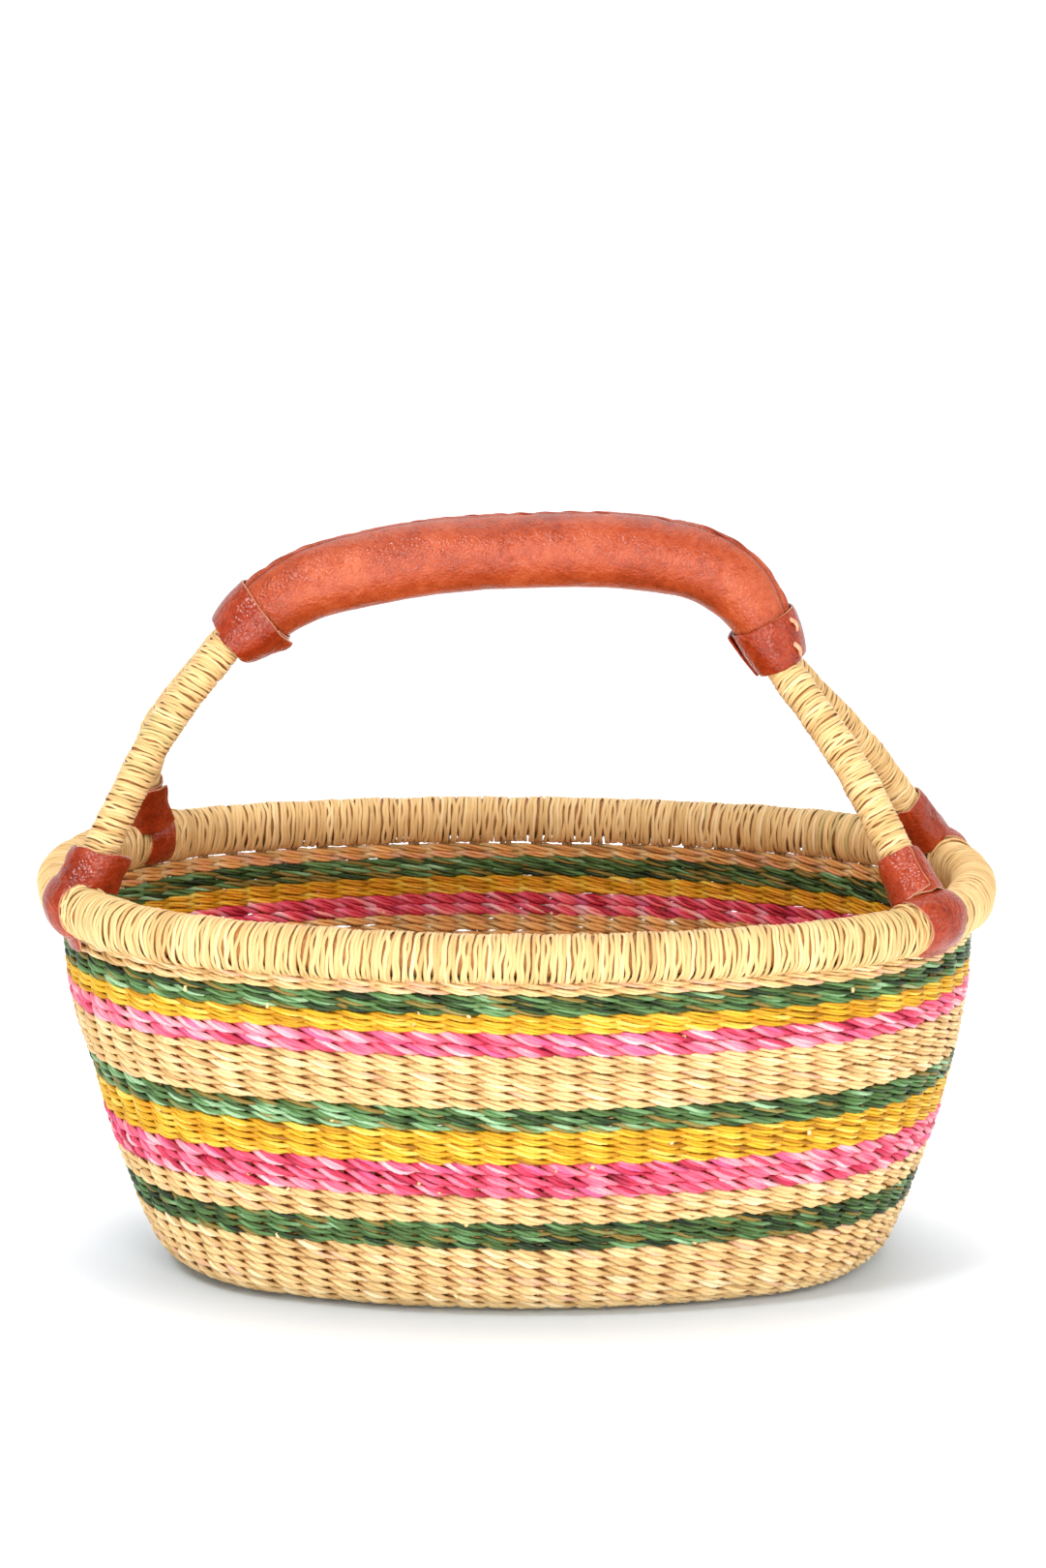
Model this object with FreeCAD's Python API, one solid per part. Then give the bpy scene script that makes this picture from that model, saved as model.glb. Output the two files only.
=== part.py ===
"""Oval woven market basket with one fixed carrying handle, in millimetres.

The plan of the basket is an oval of four tangent arcs: two tight end arcs and two
long side arcs. Every ring of the basket is the same oval moved inwards, so each one
is a single cross-section turned about the four arc centres. The basket stands on
z = 0 with its base centre at the origin, its length along X and its handle above.
"""

import FreeCAD, Part
import math
import os

from FreeCAD import Vector

# Plan oval, at the centre line of the rim
HALF_LENGTH = 209.5
HALF_WIDTH = 129.7
END_RADIUS = 113.0
STAKES_PER_ARC = 18

# Rim
RIM_HEIGHT = 181.5
RIM_RADIUS = 10.3
RIM_CORE_RADIUS = 4.5

# Wall: the outer face leans in from the rim, then rounds under to the base
WALL_TOP = 171.5
FOOT_TOP = 35.5
WALL_LEAN = 27.0
LEAN_POWER = 1.8
FOOT_BEND_HEIGHT = 16.3
WEFT_THICKNESS = 2.2
STAKE_THICKNESS = 1.6
STAKE_WIDTH = 5.0
CENTRE_GAP = 1.0
STAKE_INNER_REACH = 40.0

# Colour bands, from the rim down: name and height of the lower edge
BANDS = (
    ("natural_border_row", 162.0),
    ("green_band_upper", 152.4),
    ("yellow_band_upper", 143.6),
    ("pink_band_upper", 132.9),
    ("natural_band_upper", 107.4),
    ("green_band_middle", 96.0),
    ("yellow_band_lower", 79.9),
    ("pink_band_lower", 62.7),
    ("natural_band_middle", 49.4),
    ("green_band_lower", FOOT_TOP),
    ("natural_foot_band", FOOT_BEND_HEIGHT),
    ("natural_foot_bend", 0.0),
)

# Handle: two hoops run side by side through the grip and part at its ends
HOOP_OFFSET = 8.0
HOOP_CORE_RADIUS = 4.0
LEG_RADIUS = 8.0
GRIP_RADIUS = 17.0
GRIP_LEATHER = 1.5
BAND_LENGTH = 22.0
BAND_END_HALF_HEIGHT = 12.6
LACE_RADIUS = 1.2
LACE_TILT = 8.0

# Grip centre line in the XZ plane, from the left end to the right end
GRIP_POINTS = ((-130, 295), (-99, 320), (-37, 334), (44, 337), (93, 325), (120, 284))

# Legs: the angle of each anchor about its end arc's centre, then the points of the
# leg between the grip and the anchor
LEGS = {
    "front_left": (-1, -1, 207.0, ((-160.5, -25, 257),)),
    "rear_left": (-1, 1, 136.5, ((-169, 46, 244), (-180, 65, 211))),
    "front_right": (1, -1, -40.0, ((152, -37, 243),)),
    "rear_right": (1, 1, 26.5, ((158, 27, 246),)),
}

# Leather fittings that hold each leg to the rim
LASHING_THICKNESS = 1.4
STRAP_THICKNESS = 1.7
STRAP_WIDTH = 21.0
STRAP_FIRST_ANGLE = -78.0
STRAP_LAST_ANGLE = 238.0
STRAP_TAIL_BOTTOM = 159.0
STRAP_TAIL_GAP = 0.3
COLLAR_THICKNESS = 1.6
COLLAR_REACH = {"front_left": 33.0, "rear_left": 37.0, "front_right": 33.0, "rear_right": 36.0}
TIE_RADIUS = 0.9
TIE_HEIGHT = 24.0

# Two thongs on the right end band: distance from its end and angle from its top, with
# the front side negative
BAND_TIES = ((5.0, -50.0), (15.0, -38.0))
BAND_TIE_LENGTH = 6.0

# Share of a straight run that a rounded bend may take up
BEND_REACH = 0.45

# The bore of an end band is this much wider than the grip, to keep them apart
BAND_SLACK = 0.02

UP = Vector(0, 0, 1)


# ---- the plan oval ---------------------------------------------------------------


def side_radius():
    """Radius of the long side arcs that makes them tangent to the end arcs."""
    end = HALF_LENGTH - END_RADIUS
    return (end**2 + HALF_WIDTH**2 - END_RADIUS**2) / (2 * (HALF_WIDTH - END_RADIUS))


def oval_arcs():
    """The four arcs as (centre, radius, first angle, sweep), anticlockwise."""
    end = HALF_LENGTH - END_RADIUS
    radius = side_radius()
    side = radius - HALF_WIDTH
    half_side = math.degrees(math.atan2(end, side))
    half_end = 90 - half_side
    return (
        (Vector(end, 0, 0), END_RADIUS, -half_end, 2 * half_end),
        (Vector(0, -side, 0), radius, 90 - half_side, 2 * half_side),
        (Vector(-end, 0, 0), END_RADIUS, 180 - half_end, 2 * half_end),
        (Vector(0, side, 0), radius, 270 - half_side, 2 * half_side),
    )


def at(centre, distance, angle, z):
    """The point at a distance and angle from a vertical axis."""
    turn = math.radians(angle)
    return Vector(centre.x + distance * math.cos(turn), centre.y + distance * math.sin(turn), z)


def turned(face, centre, sweep):
    return face.revolve(centre, UP, sweep)


def joined(solids):
    """One solid from solids that touch."""
    return solids[0].multiFuse(solids[1:]).removeSplitter()


def ring_arcs(make_face, end_parts=1):
    """Arcs that meet round the oval; make_face(centre, radius, angle) is the section.

    The two tight end arcs are each made in end_parts equal parts.
    """
    arcs = []
    for centre, radius, first, sweep in oval_arcs():
        parts = end_parts if radius == END_RADIUS else 1
        for part in range(parts):
            start = first + sweep * part / parts
            arcs.append(turned(make_face(centre, radius, start), centre, sweep / parts))
    return arcs


def ring(make_face):
    """A closed ring round the oval."""
    return joined(ring_arcs(make_face))


def polygon_face(points, centre, radius, angle):
    """A section given as (inset from the rim's centre line, height) points."""
    corners = [at(centre, radius - inset, angle, z) for inset, z in points]
    return Part.Face(Part.makePolygon(corners + corners[:1]))


def circle_wire(section_radius, centre, radius, angle):
    """A circle about the rim's centre line."""
    turn = math.radians(angle)
    normal = Vector(-math.sin(turn), math.cos(turn), 0)
    edge = Part.Circle(at(centre, radius, angle, RIM_HEIGHT), normal, section_radius).toShape()
    return Part.Wire([edge])


def rim_tube(outer, inner=None):
    """A ring round the rim's centre line, solid or hollow."""

    def section(centre, radius, angle):
        disc = Part.Face(circle_wire(outer, centre, radius, angle))
        if inner:
            return disc.cut(Part.Face(circle_wire(inner, centre, radius, angle)))
        return disc

    return ring(section)


# ---- the wall and base -----------------------------------------------------------


def lean(z):
    """Inset of the wall's outer face at a height above the foot."""
    return WALL_LEAN * ((WALL_TOP - z) / (WALL_TOP - FOOT_TOP)) ** LEAN_POWER


def outer_profile():
    """Outer face from the top edge to the base, one point per band edge, then the foot."""
    points = [(lean(WALL_TOP), WALL_TOP)]
    for _, lower in BANDS[:-2]:
        points.append((lean(lower), lower))
    slope = WALL_LEAN * LEAN_POWER / (WALL_TOP - FOOT_TOP)
    bend_inset = points[-1][0] + slope * (FOOT_TOP - FOOT_BEND_HEIGHT)
    turn = math.pi / 2 - math.atan(slope)
    foot_radius = FOOT_BEND_HEIGHT / (1 - math.cos(turn))
    flat_inset = bend_inset + foot_radius * math.sin(turn)
    points.append((bend_inset, FOOT_BEND_HEIGHT))
    for share in (2 / 3, 1 / 3, 0):
        angle = turn * share
        inset = flat_inset - foot_radius * math.sin(angle)
        points.append((inset, foot_radius * (1 - math.cos(angle))))
    return points


def moved_inwards(points, distance):
    """The same profile moved square to itself, towards the inside of the basket."""
    moved = []
    count = len(points)
    for i, (inset, z) in enumerate(points):
        before = points[max(i - 1, 0)]
        after = points[min(i + 1, count - 1)]
        first = Vector(inset - before[0], z - before[1], 0)
        second = Vector(after[0] - inset, after[1] - z, 0)
        if i == 0:
            first = second
        if i == count - 1:
            second = Vector(1, 0, 0)
        first.normalize()
        second.normalize()
        normal = Vector(-first.y - second.y, first.x + second.x, 0)
        normal.normalize()
        miter = distance / (normal.x * -second.y + normal.y * second.x)
        moved.append((inset + normal.x * miter, z + normal.y * miter))
    return moved


WALL_THICKNESS = 2 * WEFT_THICKNESS + STAKE_THICKNESS
OUTER = outer_profile()
INNER = moved_inwards(OUTER, WALL_THICKNESS)
STAKE_OUT = moved_inwards(OUTER, WEFT_THICKNESS)
STAKE_IN = moved_inwards(OUTER, WEFT_THICKNESS + STAKE_THICKNESS)


def make_stakes(rim):
    """Flat uprights that rise from the base, through the wall, to the rim."""
    stakes = []
    for centre, radius, first, sweep in oval_arcs():
        for i in range(STAKES_PER_ARC):
            angle = first + sweep * (i + 0.5) / STAKES_PER_ARC
            if radius == END_RADIUS:
                inner_end = STAKE_INNER_REACH
            else:
                to_middle = abs(centre.y) + CENTRE_GAP
                inner_end = to_middle / abs(math.sin(math.radians(angle)))
            inner_inset = radius - inner_end
            top = RIM_HEIGHT
            outline = [(STAKE_OUT[0][0], top)] + STAKE_OUT
            outline.append((inner_inset, STAKE_OUT[-1][1]))
            outline.append((inner_inset, STAKE_IN[-1][1]))
            outline += STAKE_IN[::-1] + [(STAKE_IN[0][0], top)]
            width = math.degrees(STAKE_WIDTH / radius)
            face = polygon_face(outline, centre, radius, angle - width / 2)
            stakes.append(turned(face, centre, width).cut(rim))
    return Part.makeCompound([solid for stake in stakes for solid in stake.Solids])


def make_weft(index, outer, inner, rim):
    """The weft of one colour band on one side of the uprights, as six arcs that meet."""
    last = None if index == len(BANDS) - 1 else index + 2
    outline = outer[index:last] + inner[index:last][::-1]

    def section(centre, radius, angle):
        return polygon_face(outline, centre, radius, angle)

    arcs = ring_arcs(section, end_parts=2)
    if index == 0:
        arcs = [arc.cut(rim) for arc in arcs]
    return Part.makeCompound([solid for arc in arcs for solid in arc.Solids])


def oval_plate(inset, low, high):
    """A flat plate with the outline of the oval moved in by inset."""
    edges = []
    for centre, radius, first, sweep in oval_arcs():
        angles = (first, first + sweep / 2, first + sweep)
        ends = [at(centre, radius - inset, angle, low) for angle in angles]
        edges.append(Part.Arc(*ends).toShape())
    face = Part.Face(Part.Wire(Part.__sortEdges__(edges)))
    return face.extrude(Vector(0, 0, high - low))


# ---- paths and tubes of the handle -----------------------------------------------


def rounded_path(points):
    """Straight runs joined by the largest tangent arcs that the runs allow."""
    points = [Vector(*p) for p in points]
    edges = []
    start = points[0]
    for before, corner, after in zip(points, points[1:], points[2:]):
        to_before = before - corner
        to_after = after - corner
        reach = BEND_REACH * min(to_before.Length, to_after.Length)
        half = (math.pi - to_before.getAngle(to_after)) / 2
        radius = reach / math.tan(half)
        to_before.normalize()
        to_after.normalize()
        first = corner + to_before * reach
        last = corner + to_after * reach
        middle_way = to_before + to_after
        middle_way.normalize()
        middle = corner + middle_way * (radius / math.cos(half) - radius)
        edges.append(Part.LineSegment(start, first).toShape())
        edges.append(Part.Arc(first, middle, last).toShape())
        start = last
    edges.append(Part.LineSegment(start, points[-1]).toShape())
    return Part.Wire(edges)


def tube(path, radius):
    """A round bar along a path."""
    first = path.Edges[0]
    origin = first.valueAt(first.FirstParameter)
    direction = first.tangentAt(first.FirstParameter)
    section = Part.Wire([Part.Circle(origin, direction, radius).toShape()])
    return path.makePipeShell([section], True, True)


def grip_points(side=0.0, lift=0.0):
    """Grip centre line moved sideways along Y and square to itself by lift."""
    count = len(GRIP_POINTS)
    moved = []
    for i, (x, z) in enumerate(GRIP_POINTS):
        before = GRIP_POINTS[max(i - 1, 0)]
        after = GRIP_POINTS[min(i + 1, count - 1)]
        normals = []
        for a, b in ((before, (x, z)), ((x, z), after)):
            if a != b:
                run = Vector(b[0] - a[0], 0, b[1] - a[1])
                run.normalize()
                normals.append(Vector(-run.z, 0, run.x))
        normal = normals[0] + normals[-1]
        normal.normalize()
        step = normal * (lift / normal.dot(normals[0]))
        moved.append((x + step.x, side, z + step.z))
    return moved


def anchor(name):
    """Where a leg's centre line meets the rim's centre line."""
    side, _, angle, _ = LEGS[name]
    centre = Vector(side * (HALF_LENGTH - END_RADIUS), 0, 0)
    return at(centre, END_RADIUS, angle, RIM_HEIGHT)


def leg_points(name):
    """A leg from a little way inside the grip down to the rim."""
    side, depth, _, between = LEGS[name]
    run = grip_points(depth * HOOP_OFFSET)
    run = run[:2] if side < 0 else run[-2:][::-1]
    return [run[0]] + list(between) + [tuple(anchor(name))]


def hoop_points(depth):
    """A whole hoop, from its left anchor through the grip to its right anchor."""
    left, right = ("front_left", "front_right") if depth < 0 else ("rear_left", "rear_right")
    return leg_points(left)[::-1][:-1] + grip_points(depth * HOOP_OFFSET) + leg_points(right)[1:]


# ---- the grip --------------------------------------------------------------------


def ellipse_wire(origin, direction, half_depth, half_height):
    """An ellipse square to the grip, its half_depth along Y."""
    across = Vector(0, 1, 0)
    upright = direction.cross(across)
    upright.normalize()
    if half_depth > half_height:
        major, minor = across, upright
    else:
        major, minor = upright, across
    long_half = max(half_depth, half_height)
    short_half = min(half_depth, half_height)
    curve = Part.Ellipse(origin + major * long_half, origin + minor * short_half, origin)
    return Part.Wire([curve.toShape()])


def grip_end(side, shrink):
    """Tapered end of the grip, from its round middle to the pair of legs."""
    points = [Vector(*p) for p in grip_points()]
    end, inner = (points[0], points[1]) if side < 0 else (points[-1], points[-2])
    direction = inner - end
    direction.normalize()
    radius = GRIP_RADIUS - shrink
    half_depth = radius + BAND_SLACK
    wires = [
        ellipse_wire(end, direction, half_depth, BAND_END_HALF_HEIGHT - shrink),
        ellipse_wire(end + direction * BAND_LENGTH, direction, half_depth, radius),
    ]
    return Part.makeLoft(wires, True, True)


def without_ends(solid):
    """The part of a grip bar that lies between the two end bands."""
    points = [Vector(*p) for p in grip_points()]
    for end, inner in ((points[0], points[1]), (points[-1], points[-2])):
        direction = inner - end
        direction.normalize()
        length = 2 * BAND_LENGTH
        start = end + direction * (BAND_LENGTH - length)
        solid = solid.cut(Part.makeCylinder(2 * GRIP_RADIUS, length, start, direction))
    return solid


def lace_path():
    tilt = math.radians(LACE_TILT)
    side = GRIP_RADIUS * math.sin(tilt)
    lift = GRIP_RADIUS * math.cos(tilt)
    return rounded_path(grip_points(side, lift))


def make_band_ties():
    """Two short thongs that lock the right end band, on its front upper side."""
    points = [Vector(*p) for p in grip_points()]
    direction = points[-2] - points[-1]
    direction.normalize()
    outward = Vector(direction.z, 0, -direction.x)
    ties = []
    for along, turn in BAND_TIES:
        share = along / BAND_LENGTH
        half_height = BAND_END_HALF_HEIGHT + (GRIP_RADIUS - BAND_END_HALF_HEIGHT) * share
        lift = half_height * math.cos(math.radians(turn))
        side = GRIP_RADIUS * math.sin(math.radians(turn))
        centre = points[-1] + direction * along + outward * lift + Vector(0, side, 0)
        start = centre - direction * (BAND_TIE_LENGTH / 2)
        ties.append(Part.makeCylinder(TIE_RADIUS, BAND_TIE_LENGTH, start, direction))
    return Part.makeCompound(ties)


# ---- fittings at the rim ---------------------------------------------------------


def saddle(name, inner, outer, tail):
    """A leather or straw saddle over the rim at a leg's anchor."""
    side, _, angle, _ = LEGS[name]
    centre = Vector(side * (HALF_LENGTH - END_RADIUS), 0, 0)
    width = math.degrees(STRAP_WIDTH / END_RADIUS)
    start = angle - width / 2

    def spot(distance, turn):
        reach = math.radians(turn)
        outward = END_RADIUS + distance * math.cos(reach)
        return at(centre, outward, start, RIM_HEIGHT + distance * math.sin(reach))

    middle = (STRAP_FIRST_ANGLE + STRAP_LAST_ANGLE) / 2
    arcs = [
        Part.Arc(*[spot(d, t) for t in (STRAP_FIRST_ANGLE, middle, STRAP_LAST_ANGLE)]).toShape()
        for d in (outer, inner)
    ]
    edges = [
        arcs[0],
        Part.LineSegment(spot(outer, STRAP_LAST_ANGLE), spot(inner, STRAP_LAST_ANGLE)).toShape(),
        arcs[1],
    ]
    if tail:
        low = STRAP_TAIL_BOTTOM
        wall = END_RADIUS - lean(low) + STRAP_TAIL_GAP
        inside = at(centre, wall, start, low)
        outside = at(centre, wall + outer - inner, start, low)
        corners = [spot(inner, STRAP_FIRST_ANGLE), inside, outside, spot(outer, STRAP_FIRST_ANGLE)]
    else:
        corners = [spot(inner, STRAP_FIRST_ANGLE), spot(outer, STRAP_FIRST_ANGLE)]
    for a, b in zip(corners, corners[1:]):
        edges.append(Part.LineSegment(a, b).toShape())
    face = Part.Face(Part.Wire(Part.__sortEdges__(edges)))
    return turned(face, centre, width)


def make_rear_left_tie():
    """A thong knotted round the rear left collar."""
    end, before = [Vector(*p) for p in leg_points("rear_left")[:-3:-1]]
    direction = before - end
    direction.normalize()
    major = LEG_RADIUS + COLLAR_THICKNESS + TIE_RADIUS / 2
    return Part.makeTorus(major, TIE_RADIUS, end + direction * TIE_HEIGHT, direction)


# ---- assembly --------------------------------------------------------------------


def save(name, shape):
    solids = shape.Solids
    whole = solids[0] if len(solids) == 1 else Part.makeCompound(solids)
    if not whole.isValid():
        raise ValueError(name + " is not a valid solid")
    whole.exportStep(os.path.join("parts", name + ".step"))
    print(name, len(solids), "solids, volume", round(whole.Volume / 1000, 2), "cm3")


def build_body():
    rim = rim_tube(RIM_RADIUS)
    save("stakes", make_stakes(rim))
    for index, (name, _) in enumerate(BANDS):
        save(name + "_outer", make_weft(index, OUTER, STAKE_OUT, rim))
        save(name + "_inner", make_weft(index, STAKE_IN, INNER, rim))
    save("base_under_weave", oval_plate(OUTER[-1][0], 0, STAKE_OUT[-1][1]))
    upper = oval_plate(INNER[-1][0], STAKE_IN[-1][1], WALL_THICKNESS)
    save("base_upper_weave", upper)
    save("rim_core", rim_tube(RIM_CORE_RADIUS))
    save("rim_winding", rim_tube(RIM_RADIUS, RIM_CORE_RADIUS))


def build_handle():
    rim = rim_tube(RIM_RADIUS)
    cores = {}
    for name, depth in (("front_hoop_core", -1), ("rear_hoop_core", 1)):
        cores[name] = tube(rounded_path(hoop_points(depth)), HOOP_CORE_RADIUS)
        save(name, cores[name].cut(rim))
    bare = Part.makeCompound(list(cores.values()))

    strap_inner = RIM_RADIUS + LASHING_THICKNESS
    strap_outer = strap_inner + STRAP_THICKNESS
    strap_space = rim_tube(strap_outer)
    legs = {}
    for name in LEGS:
        path = rounded_path(leg_points(name))
        legs[name] = tube(path, LEG_RADIUS)
        save(name + "_leg_winding", legs[name].cut(rim).cut(bare))
        save(name + "_lashing", saddle(name, RIM_RADIUS, strap_inner, False).cut(legs[name]))
        save(name + "_rim_strap", saddle(name, strap_inner, strap_outer, True).cut(legs[name]))
        sleeve = tube(path, LEG_RADIUS + COLLAR_THICKNESS).cut(legs[name]).cut(strap_space)
        collar = sleeve.common(Part.makeSphere(COLLAR_REACH[name], anchor(name)))
        if name == "rear_left":
            tie = make_rear_left_tie()
            collar = collar.cut(tie)
            save("rear_left_tie", tie)
        save(name + "_collar", collar)
    build_grip(bare, Part.makeCompound(list(legs.values())))


def build_grip(bare, legs):
    path = rounded_path(grip_points())
    inner = GRIP_RADIUS - GRIP_LEATHER
    lace = tube(lace_path(), LACE_RADIUS)
    lace = without_ends(lace)
    padding = without_ends(tube(path, inner)).cut(bare)
    cover = without_ends(tube(path, GRIP_RADIUS)).cut(without_ends(tube(path, inner))).cut(lace)
    save("grip_padding", padding)
    save("grip_cover", cover)
    save("grip_lacing", lace)
    ties = make_band_ties()
    for name, side in (("grip_left_band", -1), ("grip_right_band", 1)):
        band = grip_end(side, 0).cut(grip_end(side, GRIP_LEATHER)).cut(legs)
        save(name, band.cut(ties) if side > 0 else band)
    save("grip_right_band_ties", ties)


os.makedirs("parts", exist_ok=True)
build_body()
build_handle()
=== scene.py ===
"""Looks of the oval woven market basket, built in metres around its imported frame.

The wall is real twining: two strands per row, each of two or three flat straws, turn
about each other and hold the uprights between them. The rim and the legs are wound with
single straws. The leather fittings are folded sheets with their laces.
"""

import math

import bpy
import numpy as np
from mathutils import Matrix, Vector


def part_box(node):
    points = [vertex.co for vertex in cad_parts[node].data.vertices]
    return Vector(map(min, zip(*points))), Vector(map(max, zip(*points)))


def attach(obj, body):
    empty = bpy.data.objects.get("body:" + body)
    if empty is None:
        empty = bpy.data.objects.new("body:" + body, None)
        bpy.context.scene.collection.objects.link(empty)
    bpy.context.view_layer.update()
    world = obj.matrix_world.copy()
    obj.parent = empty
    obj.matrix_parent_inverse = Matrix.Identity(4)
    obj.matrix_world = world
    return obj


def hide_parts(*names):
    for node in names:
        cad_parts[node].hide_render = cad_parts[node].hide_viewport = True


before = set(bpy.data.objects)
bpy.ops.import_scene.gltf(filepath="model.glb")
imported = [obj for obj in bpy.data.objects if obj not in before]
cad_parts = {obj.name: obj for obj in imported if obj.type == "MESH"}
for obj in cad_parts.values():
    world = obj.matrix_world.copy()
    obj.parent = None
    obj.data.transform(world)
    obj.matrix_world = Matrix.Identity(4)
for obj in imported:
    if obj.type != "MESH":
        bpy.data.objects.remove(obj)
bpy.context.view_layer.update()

MM = 0.001
SEED = 20
TURN = 2 * math.pi

# ---- places and sizes read from the frame ------------------------------------------


def corners(node):
    """Lowest and highest corner of a node, as arrays."""
    low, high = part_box(node)
    return np.array(low), np.array(high)


rim_low, rim_high = corners("rim_winding")
RIM_RADIUS = (rim_high[2] - rim_low[2]) / 2
RIM_HEIGHT = (rim_high[2] + rim_low[2]) / 2
HALF_LENGTH = rim_high[0] - RIM_RADIUS
HALF_WIDTH = rim_high[1] - RIM_RADIUS
END_RADIUS = 113 * MM

# Of each band: rows, straws in a strand, lift of the twist as a share of the row
BANDS = {
    "natural_border_row": (2, 2, 0.26),
    "green_band_upper": (3, 2, 0.28),
    "yellow_band_upper": (3, 2, 0.27),
    "pink_band_upper": (2, 3, 0.27),
    "natural_band_upper": (6, 2, 0.27),
    "green_band_middle": (3, 2, 0.28),
    "yellow_band_lower": (5, 2, 0.27),
    "pink_band_lower": (3, 3, 0.27),
    "natural_band_middle": (3, 2, 0.27),
    "green_band_lower": (4, 2, 0.28),
    "natural_foot_band": (9, 2, 0.27),
}
BAND_NODES = list(BANDS)
band_tops = [corners(node + "_outer")[1][2] for node in BAND_NODES]
WALL_TOP = RIM_HEIGHT - 10 * MM
FOOT_TOP = band_tops[-1]
FOOT_LEAN = HALF_LENGTH - corners("natural_foot_band_outer")[1][0]
LEAN_POWER = 1.8
FOOT_BEND_HEIGHT = 16.3 * MM
WALL_THICKNESS = corners("base_upper_weave")[1][2]
STAKES_PER_ARC = 18
STAKES = 4 * STAKES_PER_ARC


# ---- mesh building -----------------------------------------------------------------


def place_object(name, data):
    """A new object in the scene."""
    new = bpy.data.objects.new(name, data)
    bpy.context.scene.collection.objects.link(new)
    return new


def make_object(name, points, quads, uvs, bake_uvs, tones, material, slot, *replaced):
    """A smooth mesh object that rides on the basket and stands for CAD nodes."""
    mesh = bpy.data.meshes.new(name)
    mesh.vertices.add(len(points))
    mesh.vertices.foreach_set("co", np.ascontiguousarray(points, np.float32).ravel())
    mesh.loops.add(quads.size)
    mesh.loops.foreach_set("vertex_index", np.ascontiguousarray(quads, np.int32).ravel())
    mesh.polygons.add(len(quads))
    starts = np.arange(len(quads), dtype=np.int32) * quads.shape[1]
    mesh.polygons.foreach_set("loop_start", starts)
    for layer_name, values in (("run", uvs), ("OFBake", bake_uvs)):
        if values is not None:
            layer = mesh.uv_layers.new(name=layer_name)
            layer.data.foreach_set("uv", np.ascontiguousarray(values, np.float32).ravel())
    if tones is not None:
        layer = mesh.color_attributes.new("tone", "FLOAT_COLOR", "POINT")
        layer.data.foreach_set("color", np.ascontiguousarray(tones, np.float32).ravel())
    mesh.update(calc_edges=True)
    mesh.polygons.foreach_set("use_smooth", np.ones(len(quads), bool))
    mesh.materials.append(material)
    piece = place_object(name, mesh)
    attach(piece, "root")
    if replaced:
        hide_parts(*replaced)


def grid_quads(rows, columns, wrap_rows, wrap_columns):
    """Quads of a grid of points, as (quads, row index, column index of each corner)."""
    last_row = rows if wrap_rows else rows - 1
    last_column = columns if wrap_columns else columns - 1
    i, k = np.meshgrid(np.arange(last_row), np.arange(last_column), indexing="ij")
    i, k = i.ravel(), k.ravel()
    row = np.stack([i, i, i + 1, i + 1], 1)
    column = np.stack([k, k + 1, k + 1, k], 1)
    quads = (row % rows) * columns + column % columns
    return quads, row, column


def tube_points(centres, thick_way, wide_way, half_thick, half_wide, sides):
    """Rings of points round many centre lines: arrays (strands, samples, sides, 3)."""
    angle = np.arange(sides) * TURN / sides
    thick = (thick_way * np.asarray(half_thick)[..., None])[:, :, None, :]
    wide = (wide_way * np.asarray(half_wide)[..., None])[:, :, None, :]
    cos, sin = np.cos(angle)[:, None], np.sin(angle)[:, None]
    return centres[:, :, None, :] + thick * cos + wide * sin


def tubes(name, centres, thick_way, half_thick, half_wide, tones, material, slot, *replaced,
          closed=True, sides=6):
    """One object of many straws, each a flattened tube along its own centre line."""
    strands, samples, _ = centres.shape
    if closed:
        ahead, behind = np.roll(centres, -1, 1), np.roll(centres, 1, 1)
    else:
        ahead = np.concatenate([centres[:, 1:], 2 * centres[:, -1:] - centres[:, -2:-1]], 1)
        behind = np.concatenate([2 * centres[:, :1] - centres[:, 1:2], centres[:, :-1]], 1)
    along = unit(ahead - behind)
    thick_way = unit(thick_way - along * (thick_way * along).sum(-1, keepdims=True))
    wide_way = np.cross(along, thick_way)
    half_thick = np.broadcast_to(half_thick, centres.shape[:2])
    half_wide = np.broadcast_to(half_wide, centres.shape[:2])
    points = tube_points(centres, thick_way, wide_way, half_thick, half_wide, sides)
    points = uneven(points.reshape(-1, 3))
    quads, row, column = grid_quads(samples, sides, closed, True)
    step = np.linalg.norm(ahead - centres, axis=-1).mean(1)
    all_quads, run_uv, bake_uv = [], [], []
    for n in range(strands):
        all_quads.append(quads + n * samples * sides)
        around = column / sides
        run = row * step[n] / MM
        across = n * STRAW_UV_STEP + around * STRAW_UV_ROUND
        run_uv.append(np.stack([run, across], -1).reshape(-1, 2))
        along_share = row / (samples if closed else samples - 1)
        bake_uv.append(np.stack([along_share, (n + around) / strands], -1).reshape(-1, 2))
    all_quads = np.concatenate(all_quads)
    run_uv = np.concatenate(run_uv)
    bake_uv = np.concatenate(bake_uv)
    tones = np.repeat(tones.reshape(-1, 4), sides, 0)
    make_object(name, points, all_quads, run_uv, bake_uv, tones, material, slot, *replaced)


def tone_values(tone, pick=0.0, shade=0.0):
    """What a point's colour is worked out from: tone, pick of the odd straws, and shade."""
    return np.stack(np.broadcast_arrays(tone, pick, shade, 1.0), -1)


def unit(vectors):
    return vectors / np.maximum(np.linalg.norm(vectors, axis=-1, keepdims=True), 1e-12)


def way_at(first, second, angle):
    """Direction turned by an angle from the first of two square directions to the second."""
    return first * np.cos(angle)[..., None] + second * np.sin(angle)[..., None]


def level_way(turn):
    """Level direction at an angle about the Z axis."""
    return np.stack([np.cos(turn), np.sin(turn), 0 * turn], -1)


def vertical(points, z):
    """A vertical direction for each point: up for z = 1, down for z = -1."""
    ways = np.zeros_like(points)
    ways[..., 2] = z
    return ways


def ease(share):
    """Runs smoothly from 0 to 1 as the share does."""
    return share * share * (3 - 2 * share)


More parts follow.
